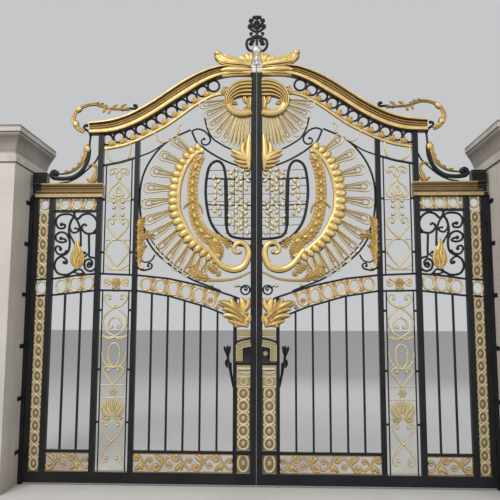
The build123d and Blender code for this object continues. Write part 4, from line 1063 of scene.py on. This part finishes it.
# The gilt panel between arch stile and tall post: two thin black bars clipped to the uprights, and
# between them hearts, ovals and crossing scrolls bent from flat gilt bar with beads at the collars.
panel_middle = 1.3088
panel_half = 0.123
panel_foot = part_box("right_scroll_panel")[0].z
panel_frame = []
panel_head_line = flow([(1.14, 3.010), (1.30, 2.962), (1.47, 2.930)])
clearance = 0.008
for turn in (1, -1):
    bar_x = panel_middle + turn * panel_half
    head = level_at(panel_head_line, bar_x) - clearance
    for low, high in ((panel_foot, level_at(lower_rail, bar_x) - clearance),
                      (level_at(upper_rail, bar_x) + clearance, head)):
        panel_frame.append(drawn_bar([(bar_x, low), (bar_x, high)], round_face, 0.0065, 0.0065))
    for level in (0.55, 1.02, 1.56, 2.10, 2.60):
        panel_frame.append(drawn_bar([(bar_x, level), (bar_x + turn * 0.030, level)], round_face, 0.011,
                                     0.008))
hang_on_leaves("panel_frame", panel_frame, black_paint, ["scroll_panel"])


# Points given from a middle line, on one side of it or on the other.
def mirrored(points, middle, way):
    return [(middle + way * x, z) for x, z in points]


panel_work = []
for line, tail in (
    ([(0.0, 2.800), (0.022, 2.755), (0.066, 2.720), (0.092, 2.675)], (0.050, -250)),
    ([(0.0, 2.735), (0.020, 2.690), (0.030, 2.655)], (0.022, -200)),
    ([(0.0, 2.885), (0.030, 2.905), (0.068, 2.900)], (0.036, -280)),
    ([(0.0, 2.885), (0.026, 2.850), (0.020, 2.820), (0.0, 2.800)], None),
    ([(0.0, 2.600), (0.035, 2.620), (0.070, 2.618), (0.100, 2.640)], None),
    ([(0.0, 2.232), (0.050, 2.280), (0.092, 2.335), (0.100, 2.375)], (0.046, 290)),
    ([(0.0, 2.225), (0.055, 2.205), (0.095, 2.155), (0.112, 2.100)], None),
    ([(0.112, 2.100), (0.080, 2.060), (0.045, 2.010), (0.0, 1.965)], None),
    ([(0.0, 1.945), (0.055, 1.950), (0.110, 1.985)], None),
    ([(0.0, 1.590), (0.050, 1.600), (0.094, 1.640)], (0.046, 300)),
    ([(0.0, 1.590), (-0.05, 1.555), (-0.098, 1.505), (-0.112, 1.440), (-0.08, 1.370), (0.0, 1.320)], None),
    ([(0.0, 1.500), (0.045, 1.470), (0.062, 1.430)], (0.030, -200)),
    ([(0.0, 1.312), (0.060, 1.300), (0.112, 1.330)], None),
    ([(0.0, 1.262), (0.044, 1.225), (0.052, 1.150), (0.040, 1.080), (0.0, 1.038)], None),
    ([(0.0, 0.880), (0.040, 0.935), (0.082, 0.985)], (0.042, 280)),
    ([(0.0, 1.038), (0.040, 1.046), (0.076, 1.070), (0.104, 1.120), (0.112, 1.180)], None),
    ([(0.0, 0.380), (0.055, 0.435), (0.092, 0.510)], (0.040, 290)),
    ([(0.0, 0.380), (0.055, 0.320), (0.092, 0.250)], (0.042, -290)),
):
    for way in (1, -1):
        rolled = (tail[0], tail[1] * way) if tail else None
        panel_work += forged(mirrored(line, panel_middle, way), 0.0094, rolled, out=0.010, eye=1.8)
tie_half = 0.117
for level in (2.590, 2.215, 1.935, 1.315, 0.880, 0.765, 0.140):
    tie_line = [(panel_middle - tie_half, level), (panel_middle + tie_half, level)]
    panel_work.append(drawn_bar(tie_line, round_face, 0.006, 0.008))
for level in (2.575, 2.522, 2.450):
    for turn in (1, -1):
        panel_work += boss_pair(panel_middle + turn * 0.043, level, 0.018, 0.017, 0.016)
for turn in (1, -1):
    stem_x = panel_middle + turn * 0.014
    panel_work.append(drawn_bar([(stem_x, 2.410), (stem_x, 2.600)], round_face, 0.0055, 0.007))
for level, size in ((2.225, 0.018), (1.590, 0.020), (1.312, 0.016), (1.038, 0.017), (0.380, 0.020),
                    (0.880, 0.014), (2.800, 0.014)):
    panel_work += boss_pair(panel_middle, level, size, size * 0.85, 0.018)
for level in (0.822, 1.765):
    panel_work += flower(panel_middle, level, 6, 0.022, 0.042, 0.013, 0.012)
for turn in (1, -1):
    for line, half_width in (([(0.006, 0.590), (0.040, 0.640), (0.056, 0.700), (0.050, 0.750)], 0.024),
                             ([(0.010, 0.600), (0.056, 0.612), (0.084, 0.650), (0.100, 0.700)], 0.022),
                             ([(0.020, 0.640), (0.064, 0.676), (0.092, 0.730)], 0.020),
                             ([(0.004, 0.640), (0.018, 0.700), (0.014, 0.756)], 0.018),
                             ([(0.020, 0.585), (0.062, 0.576), (0.100, 0.600)], 0.016)):
        panel_work.append(blade(mirrored(line, panel_middle, turn), half_width, 0.016, 0.0, 4))
hang_on_leaves("panel_scrolls", panel_work, pale_gilding, ["scroll_panel"])


# Side panel: plain bars below the lock rails, and above them scrolls forged one by one from round
# bar, different on the two sides of the stem, with a gilt flame leaf at the heart.
side_low, side_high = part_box("right_side_panel")
low_rail_low, low_rail_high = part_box("right_low_rail")
square_face = ((-1, -1, 0.5), (-1, 1, 0.5), (1, 1, 0.5), (1, -1, 0.5))
head_half = 0.012
head_z = side_high.z - head_half
side_iron = [drawn_bar([(side_low.x - centre_line, head_z), (side_high.x - centre_line, head_z)], square_face,
                       head_half, head_half)]
for place in (1.635, 1.784):
    side_iron.append(drawn_bar([(place, low_rail_high.z), (place, level_at(lower_rail, place) - clearance)],
                               square_face, 0.009, 0.009))
for line, bar in (
    ([(1.728, 2.485), (1.728, 2.440), (1.756, 2.396), (1.772, 2.323), (1.766, 2.243), (1.760, 2.163),
      (1.779, 2.098), (1.840, 2.062), (1.883, 2.026), (1.896, 1.961), (1.856, 1.900), (1.769, 1.890),
      (1.698, 1.931)], 0.0116),
    ([(1.845, 2.366), (1.812, 2.360), (1.820, 2.331), (1.868, 2.330), (1.896, 2.368), (1.895, 2.419),
      (1.854, 2.457), (1.773, 2.462), (1.728, 2.440)], 0.0110),
    ([(1.846, 2.232), (1.809, 2.224), (1.796, 2.205), (1.838, 2.194), (1.888, 2.215), (1.894, 2.262),
      (1.848, 2.291), (1.795, 2.274), (1.768, 2.225)], 0.0108),
    ([(1.846, 2.130), (1.850, 2.150), (1.885, 2.155), (1.893, 2.120), (1.863, 2.082), (1.812, 2.087),
      (1.787, 2.119)], 0.0102),
    ([(1.806, 2.004), (1.787, 1.992), (1.780, 2.018), (1.808, 2.047), (1.840, 2.062)], 0.0102),
    ([(1.728, 2.440), (1.691, 2.417), (1.648, 2.455), (1.583, 2.466), (1.523, 2.423), (1.503, 2.350),
      (1.534, 2.288), (1.592, 2.276), (1.635, 2.300), (1.652, 2.340), (1.627, 2.365), (1.605, 2.351)],
     0.0116),
    ([(1.728, 2.440), (1.756, 2.389), (1.765, 2.330), (1.731, 2.286), (1.687, 2.297), (1.687, 2.322),
      (1.722, 2.328)], 0.0102),
    ([(1.728, 2.440), (1.690, 2.388), (1.666, 2.322), (1.657, 2.242), (1.654, 2.155)], 0.0108),
    ([(1.767, 2.275), (1.736, 2.221), (1.711, 2.177)], 0.0092),
    ([(1.569, 1.994), (1.585, 1.981), (1.575, 1.961), (1.547, 1.973), (1.541, 2.009), (1.570, 2.035),
      (1.606, 2.017), (1.614, 1.981), (1.597, 1.938), (1.545, 1.923), (1.503, 1.959), (1.500, 2.024),
      (1.527, 2.047), (1.571, 2.062), (1.573, 2.118), (1.578, 2.212), (1.581, 2.272)], 0.0110),
    ([(1.527, 2.284), (1.512, 2.300), (1.503, 2.330)], 0.0086),
    ([(1.616, 2.096), (1.593, 2.078), (1.611, 2.060), (1.640, 2.070)], 0.0086),
    ([(1.698, 1.931), (1.647, 1.938), (1.617, 1.905), (1.600, 1.892)], 0.0102),
    ([(1.617, 1.902), (1.665, 1.898), (1.712, 1.913)], 0.0086),
):
    side_iron += forged(line, bar, eye=1.75, eye_at_root=True)
hang_on_leaves("side_scrolls", side_iron, black_paint, ["side_panel"])

flame = []
for rib, half_width in (
    ([(1.680, 1.935), (1.690, 2.010), (1.672, 2.090), (1.690, 2.160), (1.694, 2.225)], 0.034),
    ([(1.672, 1.950), (1.640, 2.000), (1.634, 2.060), (1.654, 2.130)], 0.023),
    ([(1.690, 1.950), (1.722, 2.005), (1.726, 2.070), (1.708, 2.140)], 0.022),
    ([(1.676, 2.040), (1.655, 2.085), (1.662, 2.140)], 0.013),
):
    flame.append(blade(rib, half_width, 0.020, 0.0, 5))
hang_on_leaves("flame_leaf", flame, bright_gilding)


# Gilt band above the bottom rail: running scrolls of bent bar, turned up and down by turns, with
# smooth leafy curls between them and a thin round bar above and below.
rail_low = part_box("right_bottom_rail")[1].z
rail_high = low_rail_low.z
band_middle = (rail_low + rail_high) / 2
band_half = (rail_high - rail_low) / 2
band_gilding = new_gilding("band_gilding", bright=(0.62, 0.44, 0.18), middle_tone=(0.34, 0.21, 0.07),
                           groove_and_shade=(0.06, 0.03, 0.015), metal=0.3, polish=(0.4, 0.6))
band_work = []
for start, end, count in ((0.212, 1.1125, 5), (1.510, 1.912, 2)):
    pitch = (end - start) / count
    for i in range(count):
        x = start + pitch * (i + 0.5)
        turn = 1 if i % 2 == 0 else -1
        main_line = [(-0.50, -0.50), (-0.30, -0.62), (-0.05, -0.10), (0.12, 0.55)]
        side_line = [(-0.08, -0.15), (-0.22, 0.35)]
        for line, bar, out, tail in ((main_line, 0.0125, 0.013, (0.040, -turn * 330)),
                                     (side_line, 0.0105, 0.012, (0.028, turn * 290))):
            placed = [(x + pitch * a, band_middle + turn * band_half * b) for a, b in line]
            band_work += forged(placed, bar, tail, out)
        for line, half_width in (([(0.02, 0.0), (0.22, -0.50), (0.40, -0.78)], 0.020),
                                 ([(-0.02, -0.10), (0.05, -0.50), (0.02, -0.82)], 0.016),
                                 ([(0.30, 0.10), (0.40, 0.45), (0.34, 0.80)], 0.015)):
            band_work.append(blade([(x + a * pitch, band_middle + turn * b * band_half) for a, b in line],
                                   half_width, 0.014, 0.0, 4, smooth_leaf_face))
    for level in (rail_high - 0.006, rail_low + 0.006):
        band_work.append(drawn_bar([(start, level), (end, level)], round_face, 0.006, 0.008))
hang_on_leaves("bottom_scrolls", band_work, band_gilding, ["bottom_band"])


# Closing bead: a slim black bar run down the meeting edge of each leaf, so that hardly any light
# shows between the two stiles. It stands a little past the edge and leaves the leaves free to swing.
stile_low, stile_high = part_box("right_meeting_stile")
closing_x = stile_low.x - centre_line - 0.0005
closing_bead = drawn_bar([(closing_x, stile_low.z), (closing_x, stile_high.z)], square_face, 0.002, 0.012,
                         -(stile_low.y + stile_high.y) / 2)
hang_on_leaves("closing_bead", [closing_bead], black_paint)


# Narrow gilt strips beside the hanging stile, and beside the meeting stile under the lock: a flat
# bar with a chain of linked ovals cast on it, and beads where each oval meets the next. A black bar
# carries the low rail across the strip by the meeting stile.
strip_gilding = new_gilding("strip_gilding", bright=(0.50, 0.41, 0.25), middle_tone=(0.34, 0.26, 0.14),
                            groove_and_shade=(0.13, 0.09, 0.05), metal=0.2, polish=(0.4, 0.6))
strip_face = both_faces(((-1, 0.8, 0.1), (-0.94, 1.0, 0.2), (0.94, 1.0, 0.2), (1, 0.8, 0.1)))
link_inset = 0.014
strip_work = []
strip_beads = []
for middle, half, low, high, count in ((2.0145, 0.0515, 0.122, 1.676, 14), (2.0145, 0.0515, 1.862, 2.478, 5),
                                       (0.117, 0.0620, 0.318, 0.865, 5), (0.117, 0.0620, 0.124, 0.280, 1)):
    pitch = (high - low) / count
    reach = half - link_inset
    strip_work.append(drawn_bar([(middle, low), (middle, high)], strip_face, half, 0.0035))
    for i in range(count):
        z = low + pitch * (i + 0.5)
        strip_beads.append(hoop(middle, z, reach, 0.0125, 0.0110, squash=pitch / 2 / reach * 0.94))
        strip_work += boss_pair(middle, z, half * 0.40, half * 0.50, 0.013)
        for turn in (1, -1):
            strip_beads += boss_pair(middle + turn * reach, z + pitch / 2, 0.014, 0.020, 0.013)
        strip_beads += boss_pair(middle, z + pitch / 2, 0.014, 0.011, 0.013)
cross_bar_z = (low_rail_low.z + low_rail_high.z) / 2
cross_bar = drawn_bar([(0.050, cross_bar_z), (0.182, cross_bar_z)], square_face, 0.019, 0.016)
hang_on_leaves("strip_cross_bar", [cross_bar], black_paint, ["strip_lattice"])
hang_on_leaves("strip_links", strip_work, strip_gilding, ["strip_lattice"])
hang_on_leaves("strip_beads", strip_beads, pale_gilding)


# Crest over each side panel: a heavy black bar that rises from its volute by a moulded block on the
# cornice to the tall post, leafed with gold along its upper side, and over it a gilt sweep that
# lands on the arch.
crest_iron = []
for line, bar, out, tail in (
    ([(1.606, 3.085), (1.616, 2.990), (1.662, 2.890), (1.745, 2.824), (1.840, 2.806), (1.925, 2.812)],
     0.021, 0.016, (0.044, 300)),
    ([(1.595, 3.230), (1.602, 3.150), (1.606, 3.085)], 0.010, 0.012, None),
    ([(1.880, 2.762), (1.790, 2.778), (1.700, 2.822), (1.620, 2.890), (1.545, 2.965), (1.512, 3.030)],
     0.0085, None, None),
    ([(1.595, 3.215), (1.612, 3.262), (1.650, 3.290)], 0.012, None, (0.030, 200)),
    ([(1.300, 3.475), (1.240, 3.492), (1.180, 3.490)], 0.012, None, (0.026, -250)),
):
    crest_iron += forged(line, bar, tail, out)
block_face = both_faces(((-1, 0.9, 0.5), (-0.8, 1.0, 0.5), (0.62, 1.0, 0.5), (0.68, 0.86, 0.5),
                         (0.8, 0.86, 0.5), (0.86, 1.0, 0.5), (1, 0.95, 0.5)))
block_half = 0.053
block_long = 0.134
block_z = cornice_high.z + block_half
crest_iron.append(drawn_bar([(cornice_end - block_long, block_z), (cornice_end, block_z)], block_face,
                            block_half, 0.040))
hang_on_leaves("crest_scroll", crest_iron, black_paint, ["side_crest"])

crest_gilt = []
crest_leaf_line = flow([(1.885, 2.850), (1.800, 2.862), (1.735, 2.895), (1.680, 2.950), (1.650, 3.020),
                        (1.630, 3.100)], 6)
leaf_count = len(crest_leaf_line)
leaf_halves = [0.008 + 0.019 * i / leaf_count for i in range(leaf_count)]
crest_gilt.append(drawn_bar(crest_leaf_line, leaf_face, leaf_halves, 0.022))
for i in range(5):
    (x, z), heading = at_share(crest_leaf_line, 0.12 + 0.19 * i)
    aim = heading - 0.7
    points = [(x, z), (x + 0.030 * math.cos(aim), z + 0.030 * math.sin(aim)),
              (x + 0.054 * math.cos(aim + 0.5), z + 0.054 * math.sin(aim + 0.5))]
    crest_gilt.append(blade(points, 0.013, 0.018, 0.0, 3))
crest_gilt += boss_pair(1.622, 3.095, 0.046, 0.036, 0.028, 1.5)
sweep_line = flow([(1.660, 3.272), (1.705, 3.290), (1.745, 3.330), (1.768, 3.390), (1.752, 3.452),
                   (1.705, 3.500), (1.635, 3.531), (1.565, 3.538), (1.500, 3.522), (1.440, 3.498),
                   (1.370, 3.490), (1.290, 3.485), (1.225, 3.480)], 6)
sweep_count = len(sweep_line)
sweep_halves = [0.024 - 0.011 * i / sweep_count for i in range(sweep_count)]
crest_gilt.append(drawn_bar(sweep_line, leaf_face, sweep_halves, 0.020))
for x, z, tilt in ((1.742, 3.340, 1.2), (1.716, 3.490, 2.3)):
    crest_gilt += boss_pair(x, z, 0.044, 0.032, 0.026, tilt)
for points in ([(1.478, 3.512), (1.470, 3.480), (1.486, 3.452)],
               [(1.440, 3.500), (1.420, 3.468), (1.436, 3.440)],
               [(1.395, 3.492), (1.372, 3.520), (1.340, 3.530)],
               [(1.320, 3.488), (1.290, 3.520), (1.255, 3.536)]):
    crest_gilt.append(blade(points, 0.015, 0.016, 0.0, 4))
crest_gilt += acanthus([(1.600, 3.535), (1.520, 3.540), (1.440, 3.515)], 0.030, 4, 0.0, 0.014)
for points, half_width in (([(1.580, 2.756), (1.562, 2.800), (1.540, 2.850), (1.530, 2.900)], 0.020),
                           ([(1.530, 2.880), (1.540, 2.925), (1.575, 2.940), (1.612, 2.925)], 0.016),
                           ([(1.566, 2.760), (1.600, 2.790), (1.622, 2.800)], 0.014),
                           ([(1.560, 2.760), (1.530, 2.790), (1.514, 2.830)], 0.014)):
    crest_gilt.append(blade(points, half_width, 0.018, 0.0, 5))
hang_on_leaves("crest_gilding", crest_gilt, arch_gilding, ["side_crest"])


# Lock between meeting stile and lock stile, fixed to both: a dark case under a black arched bar, a
# gilt plate bent round it, a pale block and a plate with a ring below, and outside the lock stile a
# grip forged as a long leaf with a forked tip.
plate_face = ((-1, 0.7, 0.2), (-0.92, 1.0, 0.8), (-0.8, 1.0, 1.0), (-0.7, 0.8, 0.3), (0.7, 0.8, 0.4),
              (0.8, 1.0, 1.0), (0.92, 1.0, 0.8), (1, 0.7, 0.2))
lock_iron = forged([(0.204, 1.215), (0.196, 1.258), (0.170, 1.278), (0.120, 1.294), (0.052, 1.306)],
                   0.0105, out=0.014)
lock_iron.append(drawn_bar([(0.052, 1.165), (0.128, 1.165)], both_faces(plate_face), 0.082, 0.030))
# a black bar under the gilt plate: painted shade, standing for the shadow beneath it
lock_iron.append(drawn_bar([(0.052, 1.085), (0.182, 1.085)], both_faces(rail_face), 0.020, 0.034))
lock_iron += forged([(0.206, 0.868), (0.222, 0.940), (0.240, 1.030), (0.256, 1.110), (0.262, 1.190)], 0.012)
for rib, half_width in (([(0.258, 1.120), (0.268, 1.170), (0.286, 1.208), (0.292, 1.236)], 0.015),
                        ([(0.256, 1.130), (0.262, 1.190), (0.264, 1.245)], 0.013),
                        ([(0.254, 1.150), (0.248, 1.200), (0.238, 1.240)], 0.013),
                        ([(0.262, 1.040), (0.276, 1.080), (0.270, 1.120)], 0.012),
                        ([(0.228, 0.960), (0.236, 1.040), (0.232, 1.092)], 0.013)):
    lock_iron.append(blade(rib, half_width, 0.014, 0.004, 5))
hang_on_leaves("lock_iron", lock_iron, black_paint, ["lock_case"])

lock_gilt = []
for line, face, half_width, out in (
    ([(0.054, 1.350), (0.170, 1.350)], both_faces(plate_face), 0.036, 0.024),
    ([(0.052, 1.262), (0.112, 1.250), (0.166, 1.230)], both_faces(plate_face), 0.028, 0.038),
    ([(0.155, 1.250), (0.155, 1.102)], both_faces(plate_face), 0.031, 0.040),
    ([(0.054, 1.037), (0.168, 1.037)], both_faces(rail_face), 0.022, 0.026),
    (flow([(0.054, 0.994), (0.118, 0.992), (0.176, 1.010)], 4), round_face, 0.010, 0.014),
    ([(0.054, 0.919), (0.176, 0.919)], both_faces(plate_face), 0.055, 0.016),
):
    lock_gilt.append(drawn_bar(line, face, half_width, out))
lock_gilt.append(hoop(0.115, 0.919, 0.032, 0.010, 0.020, steps=18))
hang_on_leaves("lock_gilding", lock_gilt, pale_gilding, ["lock_case"])


# Metal gone uneven with handling and weather, between a dark tone and a light one.
def handled_metal(name, metal, mark_size, dark, light):
    finish = new_finish(name, 0.35, metal)
    marks = mottle(finish, mark_size, 6)
    wear_in(finish, graded(finish, marks, ((0.3, dark), (0.7, light))), marks, (0.25, 0.5), marks, 0.2, 0.001)
    return finish


# the right leaf alone has a round pale knob on the case, rubbed by hands
worn_brass = handled_metal("worn_brass", 0.6, 40, (0.36, 0.34, 0.28), (0.62, 0.60, 0.52))
knob = [boss(0.082, 1.168, half, half, out, 0.0) for half, out in ((0.020, 0.052), (0.031, 0.070))]
settle(iron_mesh(knob), "lock_knob", worn_brass, "right_leaf", [])


# Finial over the meeting line, carried by the left leaf: a turned and silvered vase, black scrolls
# rising round its stem, and a flower head at the top. Below it a silvered collar, in two halves, is
# sweated round the tops of the meeting stiles.
silver_paint = handled_metal("silver_paint", 0.5, 30, (0.40, 0.36, 0.30), (0.80, 0.76, 0.70))
finial_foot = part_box("centre_finial")[0].z
# radius of each turning and its height over the finial's foot
vase_profile = ((0.034, 0.006), (0.036, 0.010), (0.028, 0.016), (0.020, 0.024), (0.018, 0.036),
                (0.022, 0.046), (0.027, 0.056), (0.024, 0.068), (0.018, 0.080), (0.016, 0.092),
                (0.019, 0.100), (0.026, 0.104), (0.024, 0.110), (0.028, 0.116), (0.038, 0.130),
                (0.044, 0.148), (0.045, 0.172), (0.038, 0.190))
around_vase = 24
vase_depth = 0.9
vase_rings = []
for radius, up in vase_profile:
    ring = []
    for i in range(around_vase):
        angle = math.tau * i / around_vase
        ring.append((centre_line + radius * math.cos(angle), radius * math.sin(angle) * vase_depth,
                     finial_foot + up))
    vase_rings.append(ring)
vase = bmesh.new()
stack_rings(vase, vase_rings)
settle(vase, "finial_vase", silver_paint, "left_leaf", ["centre_finial"], 30)

# how far each line of the collar stands out from the stile, and its height over the finial's foot
collar_lines = ((-0.004, -0.074), (0.004, -0.074), (0.009, -0.066), (0.009, -0.056), (0.004, -0.050),
                (0.005, -0.030), (0.010, -0.022), (0.010, -0.010), (0.004, -0.002), (-0.004, 0.003))
for side, way in (("right", 1), ("left", -1)):
    middle, half = plan_of(f"{side}_meeting_stile")
    collar_rings = []
    for out, up in collar_lines:
        ring = []
        for sx, sy in ((1, 1), (-1, 1), (-1, -1), (1, -1)):
            # flush with the stile on the side where the two halves meet
            x = middle[0] + sx * (half[0] + (out if sx == way else 0.0))
            ring.append((x, middle[1] + sy * (half[1] + out), finial_foot + up))
        collar_rings.append(ring)
    collar = bmesh.new()
    stack_rings(collar, collar_rings)
    settle(collar, f"{side}_stile_collar", silver_paint, f"{side}_leaf", [], 22)

finial_shapes = []
for way in (1, -1):
    for line, bar, tail in (
        ([(0.018, 4.058), (0.052, 4.052), (0.086, 4.078), (0.100, 4.125), (0.088, 4.168), (0.058, 4.180)],
         0.0135, (0.026, 250)),
        ([(0.014, 4.215), (0.034, 4.180), (0.042, 4.130)], 0.0125, (0.016, 200)),
        ([(0.012, 4.196), (0.040, 4.200), (0.062, 4.222)], 0.0090, (0.014, 240)),
        ([(0.006, 4.248), (0.036, 4.262), (0.070, 4.288)], 0.0135, (0.022, 250)),
        ([(0.008, 4.310), (0.040, 4.326), (0.064, 4.352)], 0.0130, (0.018, 250)),
    ):
        finial_shapes += forged(mirrored(line, 0.0, way), bar, (tail[0], tail[1] * way))
finial_shapes += forged([(0.0, 4.095), (0.0, 4.200), (0.0, 4.300), (0.0, 4.400)], 0.0125)
for x, z, long, short, tilt in ((0.0, 4.196, 0.040, 0.024, 0.0), (0.0, 4.292, 0.038, 0.022, 0.0),
                                (-0.034, 4.318, 0.030, 0.019, 0.5), (0.034, 4.318, 0.030, 0.019, -0.5),
                                (0.0, 4.345, 0.030, 0.026, 0.0), (0.0, 4.395, 0.034, 0.024, 0.0),
                                (-0.026, 4.398, 0.020, 0.020, 0.7), (0.026, 4.398, 0.020, 0.020, -0.7)):
    finial_shapes += boss_pair(x, z, long, short, 0.020, tilt)
settle(iron_mesh(finial_shapes), "finial_scrolls", black_paint, "left_leaf", ["centre_finial"])


# A plain pale floor and soft studio light: a broad lamp high on the left of the street, a weaker
# one on the right, one behind, and a pale surround that eye and polished metal see as plain grey.
floor_reach = 60
floor_mesh = bmesh.new()
floor_corners = []
for sx, sy in ((-1, -1), (1, -1), (1, 1), (-1, 1)):
    floor_corners.append(floor_mesh.verts.new((centre_line + sx * floor_reach, sy * floor_reach, 0)))
floor_mesh.faces.new(floor_corners)
floor_data = bpy.data.meshes.new("studio_floor")
floor_mesh.to_mesh(floor_data)
floor_mesh.free()
studio_floor = bpy.data.objects.new("studio_floor", floor_data)
bpy.context.collection.objects.link(studio_floor)
floor_paint = new_finish("studio_floor", 0.9)
floor_paint.node_tree.nodes["Principled BSDF"].inputs["Base Color"].default_value = (0.62, 0.61, 0.59, 1)
floor_data.materials.append(floor_paint)


def hang_lamp(name, place, aim, size, power, tint):
    lamp_data = bpy.data.lights.new(name, "AREA")
    lamp_data.shape = "RECTANGLE"
    lamp_data.size = size[0]
    lamp_data.size_y = size[1]
    lamp_data.energy = power
    lamp_data.color = tint
    lamp = bpy.data.objects.new(name, lamp_data)
    bpy.context.collection.objects.link(lamp)
    lamp.location = place
    lamp.rotation_euler = (Vector(aim) - Vector(place)).to_track_quat("-Z", "Y").to_euler()


gate_heart = (centre_line, 0, 2.2)
hang_lamp("street_lamp", (centre_line - 3.5, -6.5, 7.5), gate_heart, (3.5, 3.5), 530, (1.0, 0.97, 0.92))
hang_lamp("fill_lamp", (centre_line + 6.0, -6.0, 4.0), gate_heart, (4, 4), 135, (0.92, 0.96, 1.0))
hang_lamp("yard_lamp", (centre_line + 2.0, 7.0, 6.0), gate_heart, (5, 5), 150, (1, 1, 1))

surround = bpy.data.worlds.new("pale_surround")
surround.use_nodes = True
bpy.context.scene.world = surround
sky_nodes = surround.node_tree.nodes
sky_links = surround.node_tree.links
ambient = sky_nodes["Background"]
ambient.inputs["Color"].default_value = (0.95, 0.97, 1.0, 1)
ambient.inputs["Strength"].default_value = 0.48
backdrop = sky_nodes.new("ShaderNodeBackground")
backdrop.inputs["Color"].default_value = (0.56, 0.57, 0.58, 1)
backdrop.inputs["Strength"].default_value = 1.0
ray = sky_nodes.new("ShaderNodeLightPath")
sees_backdrop = ray.outputs["Is Camera Ray"]
for kind in ("Is Glossy Ray", "Is Transmission Ray"):
    either = sky_nodes.new("ShaderNodeMath")
    either.operation = "MAXIMUM"
    sky_links.new(sees_backdrop, either.inputs[0])
    sky_links.new(ray.outputs[kind], either.inputs[1])
    sees_backdrop = either.outputs[0]
chooser = sky_nodes.new("ShaderNodeMixShader")
sky_links.new(sees_backdrop, chooser.inputs["Fac"])
sky_links.new(ambient.outputs[0], chooser.inputs[1])
sky_links.new(backdrop.outputs[0], chooser.inputs[2])
sky_links.new(chooser.outputs[0], sky_nodes["World Output"].inputs["Surface"])

bpy.context.scene.view_settings.view_transform = "Standard"
